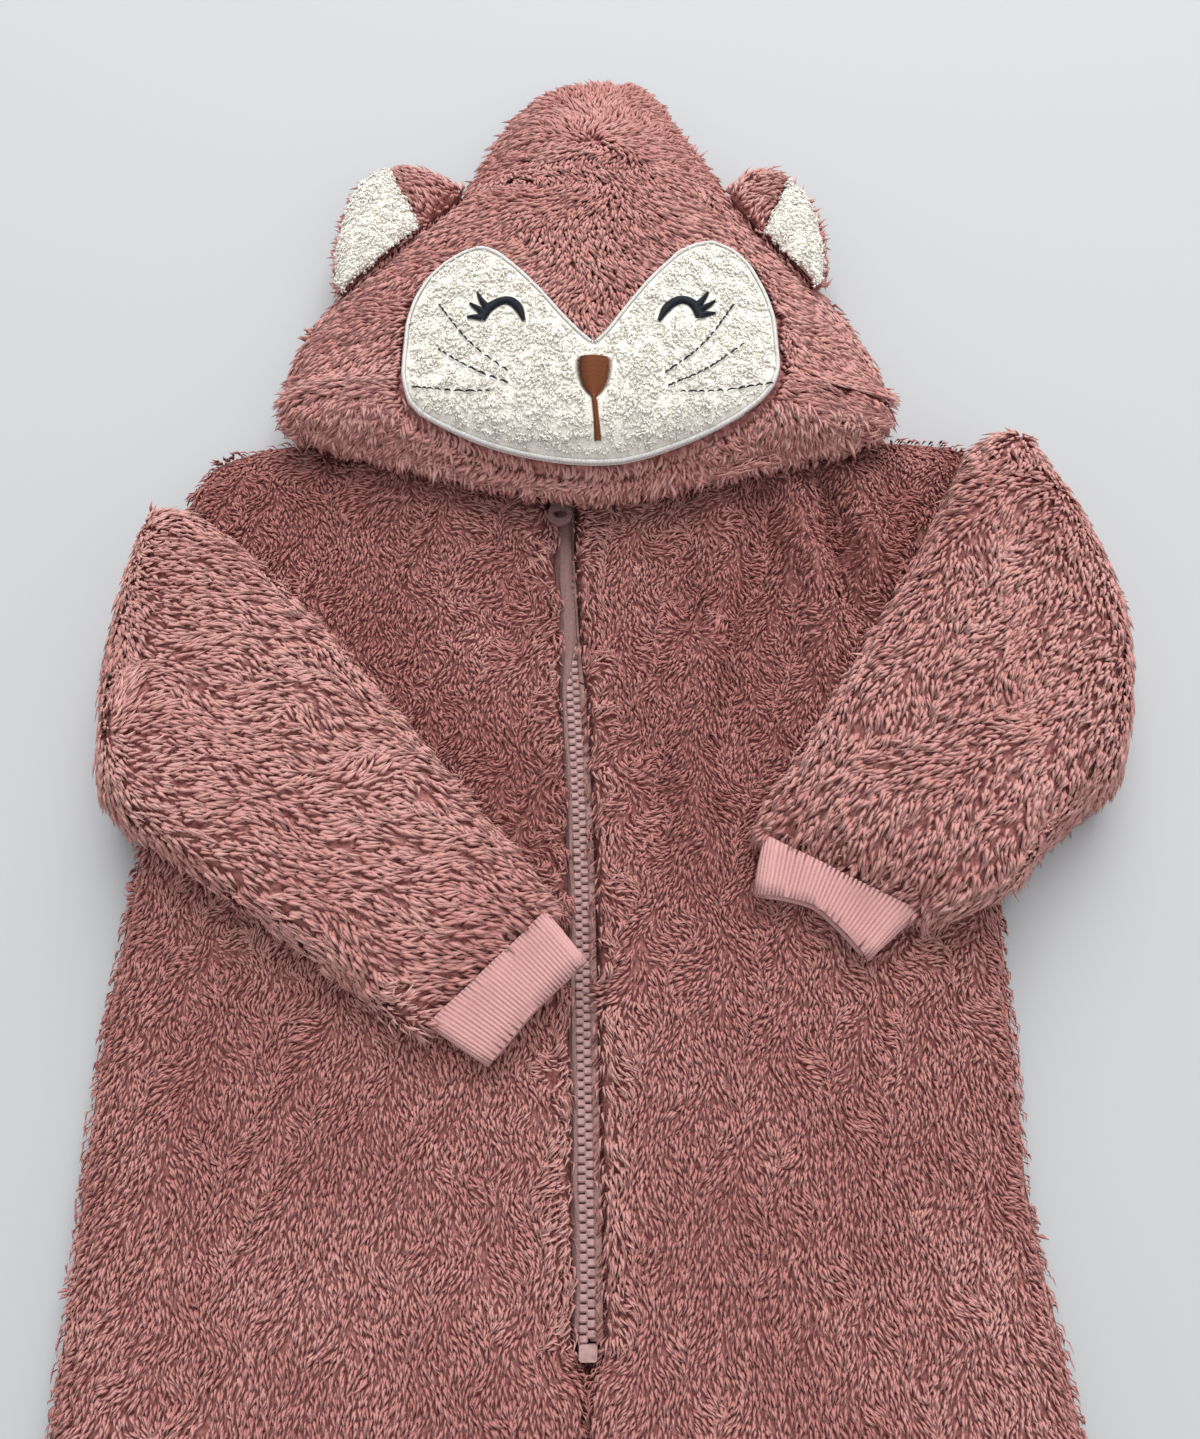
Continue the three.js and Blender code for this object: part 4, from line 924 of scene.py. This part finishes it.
def rounded(points, rounds=3):
    points = np.array(points, float) * MM
    for _ in range(rounds):
        first, second = points[:-1], points[1:]
        cut = np.stack([first * 0.75 + second * 0.25, first * 0.25 + second * 0.75], axis=1).reshape(-1, 2)
        points = np.vstack([points[:1], cut, points[-1:]])
    return points


def walked_along(points, marks_at):
    """Places at given distances along a line, with the line's direction there."""
    steps = np.linalg.norm(np.diff(points, axis=0), axis=1)
    walked = np.concatenate([[0], np.cumsum(steps)])
    marks = marks_at(walked[-1])

    def place(distance):
        return np.stack([np.interp(distance, walked, points[:, k]) for k in range(2)], axis=1)

    ahead = place(marks + 0.1 * MM) - place(marks - 0.1 * MM)
    return place(marks), ahead / np.linalg.norm(ahead, axis=1, keepdims=True), marks / walked[-1]


def threads(name, starts, ends, width, puff, material, seed):
    """Threads between pairs of places on the face, arched over the cloth."""
    dice = np.random.default_rng(seed)
    first, last = heights_of(starts), heights_of(ends)
    first, last = np.fmax(first, last - OVERHANG), np.fmax(last, first - OVERHANG)
    start, tips = np.column_stack([starts, first]), np.column_stack([ends, last])
    up = np.tile([0.0, 0.0, 1.0], (len(start), 1))
    bend = (start + tips) / 2 + up * 2 * puff
    start, tips = start - up * THREAD_SINK, tips - up * THREAD_SINK
    for share in np.linspace(0, 1, STITCH_MARKS):
        stitched_places.extend(starts + (ends - starts) * share)
    widths = width * dice.uniform(0.85, 1.15, len(start))
    mesh = slivers(name, start, bend, tips, up, widths, np.full(len(start), 0.5), 3, 0.0, THREAD_SIDE_SHADE)
    return finished(name, mesh, material)


def satin_ends(points, widths, pitch):
    """Where the threads of a satin line start and end."""
    places, ahead, shares = walked_along(rounded(points), lambda length: np.arange(0, length, pitch))
    across = np.stack([-ahead[:, 1], ahead[:, 0]], axis=1)
    half = np.interp(shares, np.linspace(0, 1, len(widths)), widths)[:, None] * MM * SATIN_REACH / 2
    return places - across * half, places + across * half


# %% Eyes, nose and whiskers
SATIN_PITCH = 0.36 * MM
SATIN_REACH = 1.3
EYE_THREAD, NOSE_THREAD, WHISKER_THREAD = (0.62 * MM, 1.3 * MM), (0.66 * MM, 0.9 * MM), (1.05 * MM, 1.3 * MM)
STITCH_LENGTHS, STITCH_GAPS = (1.8, 5.2), (-0.6, 0.9)
LAST_STITCH = 1.5 * MM
stitch_dice = np.random.default_rng(720)
EYES = [
    (
        [(-56.4, 252.7), (-53.7, 258.5), (-46.5, 262.4), (-41.1, 258.6), (-38.4, 250.0)],
        (4.2, 4.0, 3.6, 3.4, 1.2),
    ),
    (
        [(15.6, 250.8), (19.5, 259.6), (25.8, 264.0), (30.9, 261.6), (33.2, 254.6)],
        (1.2, 3.4, 3.6, 4.0, 4.2),
    ),
    ([(-53.4, 258.0), (-56.2, 262.2), (-57.9, 266.2)], (3.0, 2.2, 1.0)),
    ([(-55.0, 256.0), (-58.2, 259.0), (-61.0, 261.4)], (3.0, 2.2, 1.0)),
    ([(-56.0, 253.8), (-59.4, 254.4), (-61.8, 254.4)], (3.0, 2.2, 1.0)),
    ([(31.4, 260.4), (34.2, 264.6), (36.4, 268.3)], (3.0, 2.2, 1.0)),
    ([(32.2, 258.4), (36.2, 261.4), (39.0, 264.1)], (3.0, 2.2, 1.0)),
    ([(32.6, 256.0), (36.0, 257.2), (39.0, 257.6)], (3.0, 2.2, 1.0)),
]
NOSE_X = -10.4
NOSE_PITCH = 0.38
NOSE = [
    (233.6, 5.4), (232.6, 7.2), (231.0, 7.9), (228.0, 7.8),
    (224.0, 7.2), (220.0, 5.6), (217.0, 3.2), (215.4, 1.2),
]
MOUTH = ([(-10.4, 216.0), (-9.3, 205.6), (-8.8, 199.0)], (1.9, 1.9, 2.6))
WHISKERS = [
    [(-74.3, 263.3), (-59.9, 239.5), (-44.3, 226.7)],
    [(-73.4, 239.6), (-59.6, 228.6), (-43.9, 221.5)],
    [(-83.1, 222.5), (-67.3, 219.3), (-50.5, 218.4)],
    [(47.4, 264.8), (34.0, 240.0), (17.7, 226.2)],
    [(50.5, 243.7), (35.7, 229.0), (18.8, 220.5)],
    [(61.8, 225.2), (43.4, 219.4), (23.5, 218.2)],
]

ends = [satin_ends(points, widths, SATIN_PITCH) for points, widths in EYES]
starts, tips = (np.vstack(column) for column in zip(*ends))
threads("eye_stitches", starts, tips, *EYE_THREAD, ink_thread, 700)

nose_levels = np.arange(NOSE[-1][0], NOSE[0][0], NOSE_PITCH)
nose_half = np.interp(nose_levels, [row[0] for row in NOSE[::-1]], [row[1] for row in NOSE[::-1]])
mouth_starts, mouth_tips = satin_ends(*MOUTH, SATIN_PITCH)
starts = np.vstack([np.column_stack([NOSE_X - nose_half, nose_levels]) * MM, mouth_starts])
tips = np.vstack([np.column_stack([NOSE_X + nose_half, nose_levels]) * MM, mouth_tips])
threads("nose_stitches", starts, tips, *NOSE_THREAD, brown_thread, 710)


def running_marks(length):
    """The ends of loose running stitches: a stitch, then a gap."""
    marks = [0.0]
    while marks[-1] < length - LAST_STITCH:
        marks += [marks[-1] + stitch_dice.uniform(*STITCH_LENGTHS) * MM]
        marks += [marks[-1] + stitch_dice.uniform(*STITCH_GAPS) * MM]
    marks = marks[: len(marks) // 2 * 2]
    return np.minimum(np.array(marks), length)


runs = [walked_along(rounded(points), running_marks)[0] for points in WHISKERS]
starts, tips = np.vstack([run[0::2] for run in runs]), np.vstack([run[1::2] for run in runs])
threads("whisker_stitches", starts, tips, *WHISKER_THREAD, ink_thread, 730)

# %% [markdown]
# ## The face's stitched edge
# White overlock stitches cover the patch's raw edge. Its outline is found by trying places on a line out
# from the middle of the face, halving the step each time.

# %% Stitched edge
FACE_MIDDLE = np.array([-11.0, 217.0]) * MM
EDGE_REACH = 110 * MM
EDGE_RAYS = 300
EDGE_PITCH = 0.55 * MM
EDGE_WIDTH, EDGE_OVER = 1.9 * MM, 0.3 * MM
EDGE_THREAD = (0.7 * MM, 0.9 * MM)
HALVINGS = 14


def edge_place(turn):
    heading = np.array([math.cos(turn), math.sin(turn)])
    inside, outside = 0.0, EDGE_REACH
    for _ in range(HALVINGS):
        middle = (inside + outside) / 2
        if face_height(*(FACE_MIDDLE + heading * middle)) is None:
            outside = middle
        else:
            inside = middle
    return FACE_MIDDLE + heading * inside


edge = np.array([edge_place(2 * math.pi * k / EDGE_RAYS) for k in range(EDGE_RAYS + 1)])
for _ in range(2):
    edge[1:-1] = edge[1:-1] * 0.5 + (edge[:-2] + edge[2:]) * 0.25
places, ahead, _ = walked_along(edge, lambda length: np.arange(0, length, EDGE_PITCH))
inward = np.stack([-ahead[:, 1], ahead[:, 0]], axis=1)
inner_ends, outer_ends = places + inward * EDGE_WIDTH, places - inward * EDGE_OVER
threads("edge_stitches", inner_ends, outer_ends, *EDGE_THREAD, white_thread, 740)

# %% [markdown]
# ## Sherpa curls
# The curls stand back a little from every stitch, which presses the pile down round it.

# %% Sherpa
STITCH_CLEAR = 1.3 * MM
stitch_tree = KDTree(len(stitched_places))
for number, (x, y) in enumerate(stitched_places):
    stitch_tree.insert((x, y, 0), number)
stitch_tree.balance()


def off_stitches(roots, normals):
    near = np.array([stitch_tree.find((x, y, 0))[2] for x, y, _ in roots])
    return near > STITCH_CLEAR


grow("face_sherpa", face_cloth, curly, SHERPA_PILE, 760, off_stitches, slot="sherpa")

# %% [markdown]
# ## Cuffs
# A rib cuff is a copy of its solid, which has the ribs. Each point in a valley is marked, so that the
# finish can paint shade into it, and the long edges are cut so that the cuff can bulge a little between its
# seams.

# %% Cuffs
RIB_STEP = 1.3 * MM
VALLEY_DEPTH = 0.3 * MM
LONG_EDGE = 10 * MM
CUFF_SWELL, SWELL_SIZE = 0.25 * MM, 30 * MM
CUFF_CUTS = {"wrist": (0.115, 0.026), "ankle": (0.158, 0.032)}


def cuff_cloth(node):
    shape = bmesh.new()
    shape.from_mesh(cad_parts[node].data)
    bmesh.ops.remove_doubles(shape, verts=shape.verts, dist=0.01 * MM)
    shape.normal_update()
    pit = shape.verts.layers.float.new("pit")
    for vert in shape.verts:
        near = [edge.other_vert(vert).co for edge in vert.link_edges if edge.calc_length() < RIB_STEP]
        if len(near) > 1:
            middle = sum(near, Vector()) / len(near)
            vert[pit] = min(max((middle - vert.co).dot(vert.normal) / VALLEY_DEPTH, 0), 1)
    long_edges = [edge for edge in shape.edges if edge.calc_length() > LONG_EDGE]
    bmesh.ops.subdivide_edges(shape, edges=long_edges, cuts=3, use_grid_fill=True)
    bmesh.ops.triangulate(shape, faces=shape.faces)
    shape.normal_update()
    places = np.array([vert.co for vert in shape.verts])
    for vert, swell in zip(shape.verts, ripple(places, SWELL_SIZE, 800)):
        if vert.normal.z > -0.3:
            vert.co += vert.normal * (CUFF_SWELL * swell)
    mesh = bpy.data.meshes.new(node)
    shape.to_mesh(mesh)
    shape.free()
    return finished(f"{node}_knit", mesh, rib_knit, [node])


for kind, flat in CUFF_CUTS.items():
    for side in ("left", "right"):
        cuff_cloth(f"{kind}_cuff_{side}")

# %% [markdown]
# ## The zip
# The moulded teeth are one bevelled block, repeated down both tapes at the gauge's pitch; the two sides
# alternate by half a pitch. Below the slider the left tape rolls over the teeth and hides them.

# %% Zip
TOOTH_PITCH = 3.18 * MM
TOOTH_SIZE = (3.2 * MM, 2.5 * MM, 2.1 * MM)
TOOTH_BEVEL = 0.55 * MM
TOOTH_MIDDLE = 1.3 * MM
TEETH_HEIGHT = 14.9 * MM
TEETH_MARGIN = 1 * MM


def tooth_block():
    """One tooth's corners and triangles, as arrays."""
    shape = bmesh.new()
    bmesh.ops.create_cube(shape, size=1)
    bmesh.ops.scale(shape, vec=TOOTH_SIZE, verts=shape.verts)
    bmesh.ops.bevel(
        shape, geom=shape.edges, offset=TOOTH_BEVEL, segments=1, profile=0.5, affect="EDGES", material=-1
    )
    bmesh.ops.triangulate(shape, faces=shape.faces)
    corners = np.array([vert.co for vert in shape.verts])
    faces = np.array([[vert.index for vert in face.verts] for face in shape.faces])
    shape.free()
    return corners, faces


def repeated(name, corners, faces, places, turns, material, slot, replaced):
    """One mesh of a block repeated at places, each turned about the upright."""
    points = []
    for place, turn in zip(places, turns):
        cosine, sine = math.cos(turn), math.sin(turn)
        turning = np.array([[cosine, sine, 0], [-sine, cosine, 0], [0, 0, 1]])
        points.append(corners @ turning + place)
    index = np.concatenate([faces + len(corners) * k for k in range(len(places))])
    mesh = bpy.data.meshes.new(name)
    mesh.from_pydata(np.concatenate(points).tolist(), [], index.tolist())
    return finished(name, mesh, material, replaced)


levels = np.arange(ZIP_LOW + TEETH_MARGIN, ZIP_HIGH - TEETH_MARGIN, TOOTH_PITCH / 2)
sides = np.where(np.arange(len(levels)) % 2 == 0, -1, 1)
lean = np.arctan2(-np.gradient(zip_x(levels), levels), 1)
places = np.column_stack([zip_x(levels) + sides * TOOTH_MIDDLE, levels, np.full(len(levels), TEETH_HEIGHT)])
teeth = repeated("zip_teeth_blocks", *tooth_block(), places, lean, moulded, "plastic", ["zip_teeth"])
for polygon in teeth.data.polygons:
    polygon.use_smooth = False

# %% The tapes
ROLL_SECTION = [
    (-5.0, 14.0), (-3.6, 15.2), (-2.0, 16.9), (0.0, 17.3), (1.6, 17.0), (2.7, 16.2), (3.0, 15.0),
]
ROLL_TOP, ROLL_CLOSED, ROLL_LOW = 201 * MM, 108 * MM, -122 * MM
ROLL_FADE = 26 * MM
TAPE_DEPTH, TAPE_SOFTEN = 0.05 * MM, 0.1
ROLL_NARROW, ROLL_FLAT = 0.34, 0.5
ROLL_SWAYS = [(0.35 * MM, 9 * MM), (0.2 * MM, 3.7 * MM)]
RIPPLE_RISE, RIPPLE_WAVE = 0.15, 4.3 * MM
ROLL_ROWS = 130
ROLL_WALL = 0.7 * MM


def tape_roll(shape):
    """Adds the left tape's soft edge, which covers the teeth above and lies beside them below."""
    edge_x, edge_z = ROLL_SECTION[0]
    rows = []
    for y in np.linspace(ROLL_TOP, ROLL_LOW, ROLL_ROWS):
        share = min(max((y - ROLL_CLOSED) / ROLL_FADE, 0.0), 1.0)
        sway = sum(reach * math.sin(y / wave) for reach, wave in ROLL_SWAYS)
        row = []
        for x, z in ROLL_SECTION:
            reach = edge_x + (x - edge_x) * (ROLL_NARROW + (1 - ROLL_NARROW) * share)
            height = edge_z + (z - edge_z) * (ROLL_FLAT + (1 - ROLL_FLAT) * share)
            height += RIPPLE_RISE * math.sin(y / RIPPLE_WAVE)
            row.append(shape.verts.new((zip_x(y) + reach * MM + sway * (x > -3), y, height * MM)))
        rows.append(row)
    faces = []
    for above, below in zip(rows, rows[1:]):
        for k in range(len(ROLL_SECTION) - 1):
            faces.append(shape.faces.new((above[k], below[k], below[k + 1], above[k + 1])))
    bmesh.ops.solidify(shape, geom=faces, thickness=ROLL_WALL)
    bmesh.ops.recalc_face_normals(shape, faces=shape.faces)


for side in ("left", "right"):
    tape = cloth_from(f"zip_tape_{side}", TAPE_DEPTH, "tape", cuts=2, soften=TAPE_SOFTEN)
    if side == "left":
        shape = bmesh.new()
        shape.from_mesh(tape.data)
        tape_roll(shape)
        bmesh.ops.triangulate(shape, faces=shape.faces)
        shape.to_mesh(tape.data)
        shape.free()

KEPT = {"zip_stop": moulded, "zip_slider": paint, "zip_pull": paint}
for node, material in KEPT.items():
    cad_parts[node].data.materials.clear()
    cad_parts[node].data.materials.append(material)

# %% [markdown]
# ## Floor and light
# A pale floor, a broad soft light from beyond the hood and a weak fill. The broad light comes low enough
# to leave a shadow under the hood's edge.

# %% Floor and light
floor_finish = Finish("floor_finish")
floor_finish.shade(Base_Color=(*FLOOR_GREY, 1), Roughness=0.7, Specular_IOR_Level=0.2)
floor_shape = bmesh.new()
bmesh.ops.create_grid(floor_shape, x_segments=1, y_segments=1, size=4.0)
floor_mesh = bpy.data.meshes.new("floor")
floor_shape.to_mesh(floor_mesh)
floor_shape.free()
floor_mesh.materials.append(floor_finish.material)
floor = placed("floor", floor_mesh)

LIGHTS = [
    {"name": "key", "place": (0.2, 2.2, 2.4), "size": 2.6, "power": 112},
    {"name": "fill", "place": (0.7, -0.9, 1.9), "size": 2.0, "power": 8},
]
for row in LIGHTS:
    lamp_data = bpy.data.lights.new(row["name"], "AREA")
    lamp_data.size = row["size"]
    lamp_data.energy = row["power"]
    lamp = placed(row["name"], lamp_data)
    lamp.location = row["place"]
    lamp.rotation_euler = (-Vector(row["place"])).to_track_quat("-Z", "Y").to_euler()

STUDIO_TINT = (0.93, 0.95, 1.0, 1)
STUDIO_STRENGTH = 0.58
world = bpy.data.worlds.new("studio")
world.use_nodes = True
world.node_tree.nodes["Background"].inputs["Color"].default_value = STUDIO_TINT
world.node_tree.nodes["Background"].inputs["Strength"].default_value = STUDIO_STRENGTH
bpy.context.scene.world = world
bpy.context.scene.view_settings.view_transform = "Standard"
